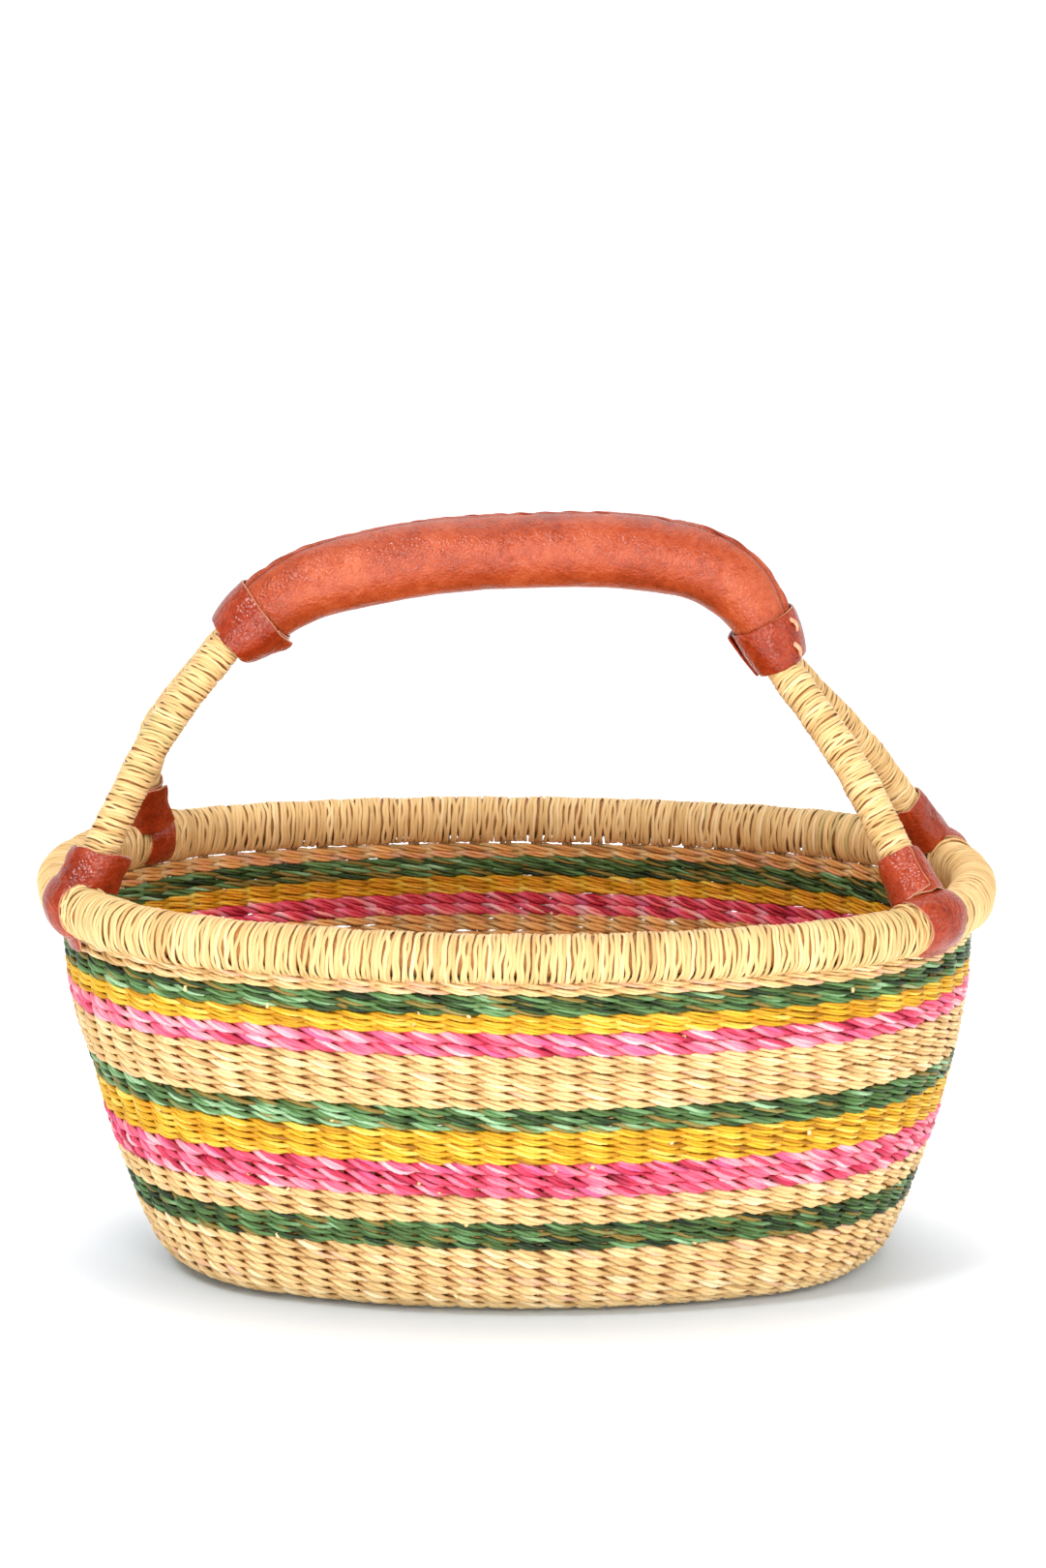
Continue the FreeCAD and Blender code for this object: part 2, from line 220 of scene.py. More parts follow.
def smooth_noise(rng, strands, samples, knots, closed=True):
    """Smooth random values about -1 to 1, with a given number of knots along each strand."""
    values = rng.uniform(-1, 1, (strands, knots))
    if closed:
        values = np.concatenate([values, values[:, :1]], 1)
    else:
        values = np.concatenate([values, rng.uniform(-1, 1, (strands, 1))], 1)
    place = np.linspace(0, knots, samples, endpoint=not closed)
    low = np.minimum(place.astype(int), knots - 1)
    share = ease(place - low)
    return values[:, low] * (1 - share) + values[:, low + 1] * share


def stepped_noise(rng, strands, samples, knots):
    """Random values from 0 to 1 that hold along a stretch and change quickly between."""
    values = rng.uniform(0, 1, (strands, knots))
    place = np.linspace(0, knots, samples, endpoint=False)[None] + rng.uniform(0, 1, (strands, 1))
    low = place.astype(int)
    share = np.clip((place - low - 0.85) / 0.15, 0, 1)
    first = np.take_along_axis(values, low % knots, 1)
    second = np.take_along_axis(values, (low + 1) % knots, 1)
    return first * (1 - share) + second * share


# ---- the oval and the wall's profile -------------------------------------------------


def oval(length, width, end, s, counts=(STAKES_PER_ARC,) * 4):
    """Points and outward directions of the oval of four tangent arcs, at stake numbers s."""
    side = ((length - end) ** 2 + width**2 - end**2) / (2 * (width - end))
    half_side = np.arctan2(length - end, side - width)
    half_end = math.pi / 2 - half_side
    starts = np.concatenate([[0], np.cumsum(counts)])
    s = np.mod(s, starts[-1])
    arc = np.clip(np.searchsorted(starts, s, side="right") - 1, 0, 3)
    share = (s - starts[arc]) / np.asarray(counts)[arc]
    centre_x = np.choose(arc, [length - end, 0, end - length, 0])
    centre_y = np.choose(arc, [0, width - side, 0, side - width])
    radius = np.choose(arc, [end, side, end, side])
    first = np.choose(arc, [-half_end, half_end, math.pi - half_end, math.pi + half_end])
    sweep = 2 * np.choose(arc, [half_end, half_side, half_end, half_side])
    outward = level_way(first + sweep * share)
    centre = np.stack([centre_x, centre_y, np.zeros_like(centre_x)], -1)
    return centre + outward * radius[..., None], outward


def wall_profile():
    """Middle of the wall as (distance down, inset, height), from the rim to the base."""
    height = np.linspace(RIM_HEIGHT, FOOT_BEND_HEIGHT, 240)
    fall = np.maximum(WALL_TOP - height, 0) / (WALL_TOP - FOOT_TOP)
    inset = FOOT_LEAN * fall**LEAN_POWER
    slope = FOOT_LEAN * LEAN_POWER / (WALL_TOP - FOOT_TOP)
    low = height < FOOT_TOP
    inset[low] = FOOT_LEAN + slope * (FOOT_TOP - height[low])
    turn = math.pi / 2 - math.atan(slope)
    bend = FOOT_BEND_HEIGHT / (1 - math.cos(turn))
    angle = np.linspace(turn, 0, 40)[1:]
    flat = inset[-1] + bend * math.sin(turn)
    inset = np.concatenate([inset, flat - bend * np.sin(angle)])
    height = np.concatenate([height, bend * (1 - np.cos(angle))])
    down_inset, down_height = np.gradient(inset), np.gradient(height)
    size = np.hypot(down_inset, down_height)
    half = WALL_THICKNESS / 2
    middle_inset = inset - half * down_height / size
    middle_height = height + half * down_inset / size
    steps = np.hypot(np.diff(middle_inset), np.diff(middle_height))
    distance = np.concatenate([[0], np.cumsum(steps)])
    return distance, middle_inset, middle_height, height


PROFILE_DOWN, PROFILE_INSET, PROFILE_HEIGHT, OUTER_HEIGHT = wall_profile()
SLOPE_STEP = 1.0 * MM


def down_at(height):
    """Distance down the wall at which its outer face has this height."""
    return np.interp(-height, -OUTER_HEIGHT, PROFILE_DOWN)


def on_wall(down, s):
    """Point, outward normal and upward direction of the wall's middle."""
    inset = np.interp(down, PROFILE_DOWN, PROFILE_INSET)
    height = np.interp(down, PROFILE_DOWN, PROFILE_HEIGHT)

    def change(values):
        below = np.interp(down + SLOPE_STEP, PROFILE_DOWN, values)
        return below - np.interp(down - SLOPE_STEP, PROFILE_DOWN, values)

    d_inset, d_height = change(PROFILE_INSET), change(PROFILE_HEIGHT)
    size = np.hypot(d_inset, d_height)
    d_inset, d_height = d_inset / size, d_height / size
    point, outward = oval(HALF_LENGTH - inset, HALF_WIDTH - inset, END_RADIUS - inset, s)
    point[..., 2] = height
    up = np.array([0.0, 0.0, 1.0])
    normal = outward * -d_height[..., None] + up * -d_inset[..., None]
    upward = outward * d_inset[..., None] + up * -d_height[..., None]
    return point, normal, upward


# Handmade unevenness, the same for every piece: the rim rises a little at the left end
# and dips at the front, the upper bands sag towards both ends, the foot lies a little to
# the right of the rim and is drawn in at its left end, and the base curls up at both ends.
RIM_SADDLE = 1.36 * MM
RIM_TILT_X = -1.04 * MM
RIM_TILT_Y = 1.28 * MM
RIM_BEND_POWER = 12
FADE_HEIGHT = 110 * MM
BAND_SAG = 2.0 * MM
SAG_HEIGHT = 148 * MM
SAG_SPREAD = 24 * MM
HEIGHT_SHARE = 0.991
FOOT_SHIFT = 1.2 * MM
FOOT_SHIFT_DEPTH = 70 * MM
LEFT_DRAW = 0.014
LEFT_DRAW_TOP = 122 * MM
LEFT_DRAW_DEPTH = 24 * MM
CURL_LEFT = 7.0 * MM
CURL_RIGHT = 5.0 * MM
CURL_POWER = 4
CURL_HEIGHT = 34 * MM


def uneven(points):
    """Moves points with the basket's slight handmade unevenness, and flattens them on the floor."""
    x, y, z = points[:, 0], points[:, 1], points[:, 2]
    around_x, around_y = x / HALF_LENGTH, y / HALF_WIDTH
    size = np.maximum(np.hypot(around_x, around_y), 0.3)
    cos, sin = around_x / size, around_y / size
    lift = RIM_SADDLE * (cos**2 - sin**2) + RIM_TILT_X * cos + RIM_TILT_Y * sin
    rise = np.clip(z / RIM_HEIGHT, 0, 1) ** RIM_BEND_POWER
    fade = np.clip(1 - (z - RIM_HEIGHT) / FADE_HEIGHT, 0, 1)
    sag = BAND_SAG * around_x**2 * np.exp(-(((z - SAG_HEIGHT) / SAG_SPREAD) ** 2))
    low = ease(np.clip((RIM_HEIGHT - z) / FOOT_SHIFT_DEPTH, 0, 1))
    curl = np.where(x < 0, CURL_LEFT, CURL_RIGHT) * np.abs(around_x) ** CURL_POWER
    curl = curl * np.clip(1 - z / CURL_HEIGHT, 0, 1)
    drawn = np.clip((LEFT_DRAW_TOP - z) / LEFT_DRAW_DEPTH, 0, 1)
    moved_x = x * (1 - LEFT_DRAW * drawn * (x < 0)) + FOOT_SHIFT * low
    height = (z + lift * rise * fade - sag) * HEIGHT_SHARE + curl
    return np.stack([moved_x, y, np.maximum(height, 0)], -1)


# ---- materials ---------------------------------------------------------------------


class Tree:
    """Small helper that adds and links shader nodes."""

    def __init__(self, name):
        self.material = bpy.data.materials.new(name)
        self.material.use_nodes = True
        self.nodes = self.material.node_tree.nodes
        self.links = self.material.node_tree.links
        self.shader = self.nodes["Principled BSDF"]

    def feed(self, value, socket):
        """Links a socket to another one, or sets it to a number or a colour."""
        if isinstance(value, bpy.types.NodeSocket):
            self.links.new(value, socket)
        elif isinstance(value, tuple):
            socket.default_value = (*value, 1)
        else:
            socket.default_value = value

    def add(self, kind, **settings):
        node = self.nodes.new(kind)
        for key, value in settings.items():
            if key in node.inputs:
                self.feed(value, node.inputs[key])
            else:
                setattr(node, key, value)
        return node

    def scaled(self, vector, scale):
        node = self.add("ShaderNodeMapping", Vector=vector)
        node.inputs["Scale"].default_value = scale
        return node.outputs["Vector"]

    def noise(self, vector, **settings):
        return self.add("ShaderNodeTexNoise", Vector=vector, **settings).outputs["Fac"]

    def stored_tone(self):
        """The tone, pick and shade stored at each point, as Red, Green and Blue."""
        stored = self.add("ShaderNodeAttribute", attribute_name="tone")
        return self.add("ShaderNodeSeparateColor", Color=stored.outputs["Color"]).outputs

    def remap(self, value, start, end, low, high, kind="LINEAR"):
        """Runs from low to high as the value runs from start to end."""
        node = self.add("ShaderNodeMapRange", interpolation_type=kind, Value=value)
        for key, number in (("From Min", start), ("From Max", end), ("To Min", low), ("To Max", high)):
            node.inputs[key].default_value = number
        return node.outputs["Result"]

    def ramp(self, value, stops):
        """Colour by value; the stops may run past 1, and are then squeezed into 0 to 1."""
        reach = max(1.0, stops[-1][0])
        if reach > 1:
            value = self.math("DIVIDE", value, reach)
        node = self.add("ShaderNodeValToRGB", Fac=value)
        elements = node.color_ramp.elements
        while len(elements) < len(stops):
            elements.new(0.5)
        for element, (place, colour) in zip(elements, stops):
            element.position = place / reach
            element.color = (*colour, 1)
        return node.outputs["Color"]

    def mix(self, share, first, second, blend="MIX"):
        node = self.add("ShaderNodeMix", data_type="RGBA", blend_type=blend)
        for value, number in ((share, 0), (first, 6), (second, 7)):
            self.feed(value, node.inputs[number])
        return node.outputs[2]

    def math(self, operation, *values):
        node = self.add("ShaderNodeMath", operation=operation)
        for value, socket in zip(values, node.inputs):
            self.feed(value, socket)
        return node.outputs[0]

    def surface(self, colour, roughness, specular):
        self.feed(colour, self.shader.inputs["Base Color"])
        self.feed(roughness, self.shader.inputs["Roughness"])
        self.shader.inputs["Specular IOR Level"].default_value = specular

    def bump(self, height, strength, distance):
        node = self.add("ShaderNodeBump", Height=height, Strength=strength, Distance=distance)
        self.feed(node.outputs["Normal"], self.shader.inputs["Normal"])


STRAW_UV_STEP = 20.0
STRAW_UV_ROUND = 6.0
FIBRE_SCALE = (0.10, 2.2, 1.0)
FIBRE_CONTRAST = 0.42
PATCH_SCALE = 0.07
ODD_FADE = 0.08
ODD_COVER = 0.85
# Painted shade along each straw's two edges, so dark lines show between neighbouring straws
EDGE_SHADE_COVER = 0.34
EDGE_SHADE_SHARPNESS = 5.0
EDGE_SHADE_TINT = (0.46, 0.34, 0.24)
# Tint of the painted warm shade on the wall's inner side and on the bar under the windings
WARM_SHADE_TINT = (0.97, 0.50, 0.13)
STRAW_SPECULAR = 0.32


def straw_material(name, stops, odd_colour, odd_share, roughness):
    """Dry grass: colour by straw, odd straws, fibres along it, painted shade along its edges, and
    painted warm shade where the stored shade is set.
    """
    tree = Tree(name)
    stored = tree.stored_tone()
    run = tree.add("ShaderNodeUVMap", uv_map="run").outputs["UV"]
    fibre = tree.noise(tree.scaled(run, FIBRE_SCALE), Scale=1.0, Detail=3.0, Roughness=0.6)
    patch = tree.noise(run, Scale=PATCH_SCALE, Detail=2.0)
    value = tree.math("MULTIPLY_ADD", fibre, FIBRE_CONTRAST, stored["Red"])
    colour = tree.ramp(tree.math("ADD", value, -FIBRE_CONTRAST / 2), stops)
    blotch = tree.math("MULTIPLY", tree.math("SUBTRACT", patch, 0.5), 0.5)
    pick = tree.math("ADD", stored["Green"], blotch)
    odd = tree.remap(pick, 1 - odd_share, 1 - odd_share + ODD_FADE, 0.0, ODD_COVER)
    colour = tree.mix(odd, colour, odd_colour)
    # Painted shade: darker towards both sides of each straw's tube
    place = tree.add("ShaderNodeSeparateXYZ", Vector=run)
    around = tree.math("MODULO", place.outputs["Y"], STRAW_UV_STEP)
    side = tree.math("SINE", tree.math("MULTIPLY", around, TURN / STRAW_UV_ROUND))
    side = tree.math("POWER", tree.math("ABSOLUTE", side), EDGE_SHADE_SHARPNESS)
    side = tree.math("MULTIPLY", side, EDGE_SHADE_COVER)
    colour = tree.mix(side, colour, tree.mix(1.0, colour, EDGE_SHADE_TINT, "MULTIPLY"))
    # Painted warm shade where the stored shade is set
    warm = tree.mix(1.0, colour, WARM_SHADE_TINT, "MULTIPLY")
    colour = tree.mix(stored["Blue"], colour, warm)
    tree.surface(colour, roughness, STRAW_SPECULAR)
    tree.bump(fibre, 0.5, 0.25 * MM)
    return tree.material


NATURAL_STOPS = ((0.0, (0.40, 0.20, 0.065)), (0.3, (0.71, 0.46, 0.19)),
                 (0.7, (0.91, 0.645, 0.305)), (1.0, (0.97, 0.80, 0.50)))
NATURAL = straw_material("natural_straw", NATURAL_STOPS, (0.80, 0.48, 0.31), 0.10, 0.42)
WINDING_STOPS = ((0.0, (0.38, 0.19, 0.058)), (0.3, (0.69, 0.43, 0.168)),
                 (0.7, (0.91, 0.615, 0.275)), (1.0, (0.97, 0.775, 0.455)))
WINDING = straw_material("winding_straw", WINDING_STOPS, (0.60, 0.46, 0.18), 0.16, 0.45)
BORDER = straw_material("border_straw", NATURAL_STOPS, (0.84, 0.52, 0.34), 0.35, 0.45)
GREEN = straw_material("green_straw",
                       ((0.12, (0.005, 0.013, 0.004)), (0.38, (0.022, 0.052, 0.013)),
                        (0.60, (0.074, 0.142, 0.035)), (0.80, (0.135, 0.295, 0.105)),
                        (0.97, (0.37, 0.61, 0.35))),
                       (0.30, 0.20, 0.04), 0.20, 0.34)
YELLOW = straw_material("yellow_straw",
                        ((0.0, (0.27, 0.09, 0.002)), (0.3, (0.60, 0.29, 0.007)),
                         (0.65, (0.84, 0.50, 0.024)), (1.0, (0.97, 0.77, 0.16))),
                        (0.80, 0.37, 0.012), 0.12, 0.40)
PINK = straw_material("pink_straw",
                      ((0.08, (0.26, 0.006, 0.024)), (0.35, (0.64, 0.036, 0.098)),
                       (0.62, (0.92, 0.165, 0.28)), (0.95, (0.98, 0.56, 0.62))),
                      (0.74, 0.12, 0.30), 0.14, 0.36)
STAKE = straw_material("stake_straw",
                       ((0.0, (0.14, 0.07, 0.02)), (0.5, (0.32, 0.17, 0.06)), (1.0, (0.5, 0.31, 0.13))),
                       (0.3, 0.15, 0.07), 0.1, 0.6)
STRAWS = {"natural_straw": NATURAL, "green_straw": GREEN, "yellow_straw": YELLOW, "pink_straw": PINK}

# ---- twined wall and base ------------------------------------------------------------

MIDDLE_TONE = 0.57
STRAW_WOBBLE = 0.22 * MM
STEPS_PER_STAKE = 6
STAKE_HALF_GAP = 1.9 * MM
BORDER_TOP = 6.6 * MM
# How much deeper in tone each colour is on the basket's inner side: painted shade, and for the pink also
# its less faded inner side
INNER_SHADE_DEEPENING = {"green_straw": 0.04, "yellow_straw": 0.0, "pink_straw": 0.20, "natural_straw": 0.14}
# Share of painted warm shade on each colour's inner side, standing for the basket's dim, warmly lit
# inside
INNER_WARM_SHADE = {"green_straw": 0.1, "yellow_straw": 0.5, "pink_straw": 0.5, "natural_straw": 0.65}
STRAW_FULLNESS = {2: 0.58, 3: 0.66}
STRAW_THICKNESS = {2: 2.05 * MM, 3: 2.5 * MM}
# Tone shift of some bands, up for lighter, down for darker
BAND_TONE_SHIFT = {"pink_band_upper": 0.08, "green_band_middle": 0.05, "green_band_lower": -0.05}


def twined_rows(name, rng, rows, pitch, straws, lift_share, material, slot, *replaced):
    """Rows of twining; rows is a list of (point, normal, upward) arrays along the oval."""
    samples = len(rows[0][0])
    stakes = samples // STEPS_PER_STAKE
    s = np.arange(samples) / STEPS_PER_STAKE
    width = pitch / straws
    lift = lift_share * pitch
    centres, ways, half_wide, inner = [], [], [], []
    for number, (point, normal, upward) in enumerate(rows):
        drift = smooth_noise(rng, 1, samples, stakes // 4)[0]
        for strand in range(2):
            theta = math.pi * (s - 0.5) + math.pi * (strand + number) + 0.12 * drift
            cos, sin = np.cos(theta), np.sin(theta)
            for k in range(straws):
                place = (k - (straws - 1) / 2) * width
                jitter = smooth_noise(rng, 3, samples, stakes)
                out = STAKE_HALF_GAP * cos + 0.7 * place * sin
                out = out + STRAW_WOBBLE * jitter[0]
                rise = -lift * sin + place * cos + 0.09 * pitch * jitter[1]
                centre = point + normal * out[:, None] + upward * rise[:, None]
                centres.append(centre)
                ways.append(normal * cos[:, None] - upward * sin[:, None])
                half_wide.append(STRAW_FULLNESS[straws] * width * (1 + 0.20 * jitter[2]))
                inner.append(np.clip(-cos, 0, 1))
    centres, ways, half_wide = np.array(centres), np.array(ways), np.array(half_wide)
    count = len(centres)
    tone = MIDDLE_TONE + BAND_TONE_SHIFT.get(name.removesuffix("_straw"), 0)
    tone = tone + 0.22 * smooth_noise(rng, count, samples, stakes)
    # Painted shade: strands deeper in tone where they run on the inner side
    tone = tone - INNER_SHADE_DEEPENING[slot] * np.array(inner)
    tone = tone + 0.55 * (stepped_noise(rng, count, samples, stakes // 4) - 0.5)
    pick = stepped_noise(rng, count, samples, max(stakes // 4, 3))
    # Painted warm shade on the inner side of the strands
    warm_shade = INNER_WARM_SHADE[slot] * np.array(inner)
    tubes(name, centres, ways, STRAW_THICKNESS[straws] / 2, half_wide,
          tone_values(tone, pick, warm_shade), material, slot, *replaced)


def make_wall():
    rng = np.random.default_rng(SEED)
    samples = STAKES * STEPS_PER_STAKE
    s = np.arange(samples) / STEPS_PER_STAKE
    for i, node in enumerate(BAND_NODES):
        count, straws, lift = BANDS[node]
        slot = node.split("_")[0] + "_straw"
        material = STRAWS[slot] if i else BORDER
        top = down_at(band_tops[i] if i else band_tops[1] + BORDER_TOP)
        bottom = down_at(band_tops[i + 1]) if i + 1 < len(BAND_NODES) else PROFILE_DOWN[-1]
        pitch = (bottom - top) / count
        rows = []
        wander = 0.12 * pitch
        for j in range(count):
            down = top + (j + 0.5) * pitch + wander * smooth_noise(rng, 1, samples, 20)[0]
            rows.append(on_wall(down, s))
        nodes = [node + "_outer", node + "_inner"]
        if node == BAND_NODES[-1]:
            nodes += ["natural_foot_bend_outer", "natural_foot_bend_inner"]
        twined_rows(node + "_straw", rng, rows, pitch, straws, lift, material, slot, *nodes)


STUBS = 110
STUB_RADIUS = 0.9 * MM
STUB_START = 1.6 * MM


def make_stubs():
    """Cut ends of straw that stick out between the rows, half at the edges between bands and the rest
    anywhere below the border, most outwards and some inwards.
    """
    rng = np.random.default_rng(SEED + 10)
    samples = 5
    share = np.linspace(0, 1, samples)[:, None]
    lowest, highest = down_at(8 * MM), down_at(band_tops[1])
    edges = [down_at(top) for top in band_tops[2:]]
    centres, ways = [], []
    for i in range(STUBS):
        s = np.full(1, rng.uniform(0, STAKES))
        down = rng.choice(edges) + rng.normal(0, 2.0) * MM
        if i % 2:
            down = rng.uniform(highest, lowest)
        face = 1 if i % 4 else -1
        point, normal, upward = on_wall(np.full(1, down), s)
        along = np.cross(upward, normal)
        lean = unit(along * rng.uniform(-1, 1) + upward * rng.uniform(-0.5, 0.3))
        first = point + normal * face * STUB_START
        last = first + normal * face * rng.uniform(1.1, 1.8) * MM + lean * rng.uniform(0.8, 2.2) * MM
        centres.append(first + (last - first) * share)
        ways.append(np.repeat(upward, samples, 0))
    centres, ways = np.array(centres), np.array(ways)
    widths = STUB_RADIUS * rng.uniform(0.7, 1.15, (STUBS, 1)) * np.array([1, 1, 1, 0.95, 0.75])
    tone = rng.uniform(0.55, 0.9, (STUBS, 1)) * np.ones(samples)
    tubes("cut_straw_ends", centres, ways, 0.75 * widths, widths, tone_values(tone), NATURAL,
          "natural_straw", closed=False, sides=7)


BASE_ROWS = 14
BASE_END_RADIUS = 1.8 * MM


def make_base():
    """Oval rows of the flat base, from the foot to a slot in the middle."""
    rng = np.random.default_rng(SEED + 1)
    inset = PROFILE_INSET[-1]
    first = (HALF_LENGTH - inset, HALF_WIDTH - inset, END_RADIUS - inset)
    last = (HALF_LENGTH - END_RADIUS, BASE_END_RADIUS * 1.4, BASE_END_RADIUS)
    height = PROFILE_HEIGHT[-1]
    pitch = (first[1] - last[1]) / BASE_ROWS
    for half in range(2):
        rows = []
        end_stakes = STAKES_PER_ARC if half == 0 else STAKES_PER_ARC // 2
        counts = (end_stakes, STAKES_PER_ARC, end_stakes, STAKES_PER_ARC)
        samples = sum(counts) * STEPS_PER_STAKE
        s = np.arange(samples) / STEPS_PER_STAKE
        for j in range(BASE_ROWS // 2):
            share = (half * (BASE_ROWS // 2) + j + 0.5) / BASE_ROWS
            length, width, end = (a + (b - a) * share for a, b in zip(first, last))
            point, outward = oval(length, width, end, s, counts)
            point[..., 2] = height
            rows.append((point, vertical(point, -1), outward))
        node = ("base_under_weave", "base_upper_weave")[half]
        name = ("base_outer_rows", "base_inner_rows")[half]
        twined_rows(name, rng, rows, pitch, 2, 0.30, NATURAL, "natural_straw", node)
    fill_base_slot(rng, last[0], height)


SLOT_STRAWS = 4
SLOT_STRAW_PITCH = 1.9 * MM


def fill_base_slot(rng, reach, height):
    """Straight straws laid along the middle of the base."""
    samples = 90
    x = np.linspace(-reach - 2 * MM, reach + 2 * MM, samples)
    centres = np.zeros((SLOT_STRAWS, samples, 3))
    centres[..., 0] = x
    centres[..., 1] = ((np.arange(SLOT_STRAWS) - (SLOT_STRAWS - 1) / 2) * SLOT_STRAW_PITCH)[:, None]
    centres[..., 1] += 0.5 * MM * smooth_noise(rng, SLOT_STRAWS, samples, 14, closed=False)
    centres[..., 2] = height + 0.6 * MM * smooth_noise(rng, SLOT_STRAWS, samples, 30, closed=False)
    tone = MIDDLE_TONE + 0.22 * smooth_noise(rng, SLOT_STRAWS, samples, 20, closed=False)
    tubes("base_middle_straws", centres, vertical(centres, 1), STRAW_THICKNESS[2] / 2, 1.25 * MM,
          tone_values(tone), NATURAL, "natural_straw", closed=False)


STAKE_HALF_THICKNESS = 0.8 * MM
STAKE_HALF_WIDTH = 1.5 * MM
STAKE_PAIR = (-0.09, 0.09)


def make_stakes():
    """Flat uprights from the base, up inside the wall, to the rim."""
    rng = np.random.default_rng(SEED + 2)
    samples = 56
    down = np.linspace(0, PROFILE_DOWN[-1], samples)
    centres, ways = [], []
    for i in range(STAKES):
        for side in STAKE_PAIR:
            sway = 0.03 * smooth_noise(rng, 1, samples, 6, closed=False)[0]
            point, normal, _ = on_wall(down, np.full(samples, i + 0.5) + side + sway)
            centres.append(point)
            ways.append(normal)
    centres, ways = np.array(centres), np.array(ways)
    tone = 0.5 + 0.3 * smooth_noise(rng, len(centres), samples, 4, closed=False)
    tubes("uprights", centres, ways, STAKE_HALF_THICKNESS, STAKE_HALF_WIDTH, tone_values(tone), STAKE,
          "stake_straw", "stakes", closed=False)


# ---- windings ------------------------------------------------------------------------


KNOTS_PER_TURN = 10
WOUND_STRAW_HALF_THICKNESS = 0.5 * MM
# The bar under the windings takes the darkest tone and painted warm shade, to read as shade between the
# wound straws
BUNDLE_SHADE_TONE = 0.05
BUNDLE_SHADE = 0.45
BUNDLE_DEPTH = 1.1 * MM


def winding(name, rng, path, across, radius, turns, starts, node, closed=False,
            straw_width=2.08 * MM, steps=24, wander=0.42):
    """Straws wound round a path, in several starts, each turn lying its own way.

    path, across and radius are functions of the share 0 to 1 of the way along; across
    gives two directions square to the path.
    """
    rounds = int(turns / starts)
    samples = rounds * steps
    centres, ways, widths = [], [], []
    shared = 0.6 * smooth_noise(rng, 1, samples, max(rounds // 4, 4), closed)[0]
    shared = shared + 0.3 * smooth_noise(rng, 1, samples, 3 * rounds, closed)[0]
    for start in range(starts):
        share = np.linspace(0, 1, samples, endpoint=not closed)
        angle = TURN * (share * rounds + start / starts)
        loose = smooth_noise(rng, 3, samples, KNOTS_PER_TURN * rounds, closed)
        where = share + (wander * loose[0] + shared) / turns
        where = np.mod(where, 1) if closed else np.clip(where, 0, 1)
        first, second = across(where)
        way = way_at(first, second, angle)
        out = radius(where, angle) + STRAW_WOBBLE * loose[1]
        centres.append(path(where) + way * out[:, None])
        ways.append(way)
        per_turn = stepped_noise(rng, 1, samples, rounds)[0] - 0.5
        widths.append(straw_width / 2 * (1 + 0.16 * loose[2] + 0.24 * per_turn))
    centres, ways, widths = np.array(centres), np.array(ways), np.array(widths)
    tone = MIDDLE_TONE + 0.14 * smooth_noise(rng, starts, samples, 2 * rounds, closed)
    tone = tone + 0.42 * (stepped_noise(rng, starts, samples, rounds) - 0.5)
    pick = np.tile(stepped_noise(rng, 1, samples, max(rounds // 6, 3)), (starts, 1))
    pick = 0.75 * pick + 0.25 * stepped_noise(rng, starts, samples, rounds)
    tubes(name, centres, ways, WOUND_STRAW_HALF_THICKNESS, widths, tone_values(tone, pick), WINDING,
          "winding_straw", node, closed=closed)


def bundle(name, point, way, radius, *replaced, closed=False):
    """A plain round bar under a winding, painted dark and warm as the shade in the gaps between its
    straws.
    """
    tones = tone_values(np.full((1, len(point)), BUNDLE_SHADE_TONE), 0.0, BUNDLE_SHADE)
    tubes(name, point[None], way[None], radius, radius, tones, WINDING, "cane", *replaced,
          closed=closed, sides=20)


def rim_path(share):
    point, _ = oval(HALF_LENGTH, HALF_WIDTH, END_RADIUS, share * STAKES)
    point[..., 2] = RIM_HEIGHT
    return point


def rim_across(share):
    _, outward = oval(HALF_LENGTH, HALF_WIDTH, END_RADIUS, share * STAKES)
    return outward, vertical(outward, 1)


RIM_TURNS = 600
WOUND_RADIUS = RIM_RADIUS - 0.4 * MM
RIM_DROP = 2.4 * MM


def make_rim():
    rng = np.random.default_rng(SEED + 3)

    def radius(share, angle):
        lumps = np.sin(share * TURN * 23) * 0.16 + np.sin(share * TURN * 41 + 2) * 0.18
        return WOUND_RADIUS + lumps * MM + RIM_DROP * np.clip(-np.sin(angle), 0, 1) ** 2

    winding("rim_wound_straw", rng, rim_path, rim_across, radius, RIM_TURNS, 2, "rim_winding",
            closed=True)
    share = np.arange(360) / 360
    bundle("rim_bundle", rim_path(share), rim_across(share)[0], RIM_RADIUS - BUNDLE_DEPTH, "rim_core",
           closed=True)


# ---- handle --------------------------------------------------------------------------

# The handle's design: the grip line in the XZ plane, then each leg's side, its depth, its
# anchor angle about its end arc's centre, and its points between the grip and the anchor.
# The grip's right corner and the rear right leg's point differ a little from the part's.
HOOP_OFFSET = 8 * MM
LEG_RADIUS = 8 * MM
LEG_INSIDE_GRIP = 14 * MM
GRIP_LINE = MM * np.array([(-130, 0, 295), (-99, 0, 320), (-37, 0, 334), (44, 0, 337),
                           (97, 0, 328), (120, 0, 284)])
BEND_REACH = 0.45
BAND_LENGTH = 22 * MM
LEGS = {
    "front_left": (-1, -1, 207.0, ((-160.5, -25, 257),)),
    "rear_left": (-1, 1, 136.5, ((-169, 46, 244), (-180, 65, 211))),
    "front_right": (1, -1, -40.0, ((152, -37, 243),)),
    "rear_right": (1, 1, 26.5, ((166, 31, 232.5),)),
}


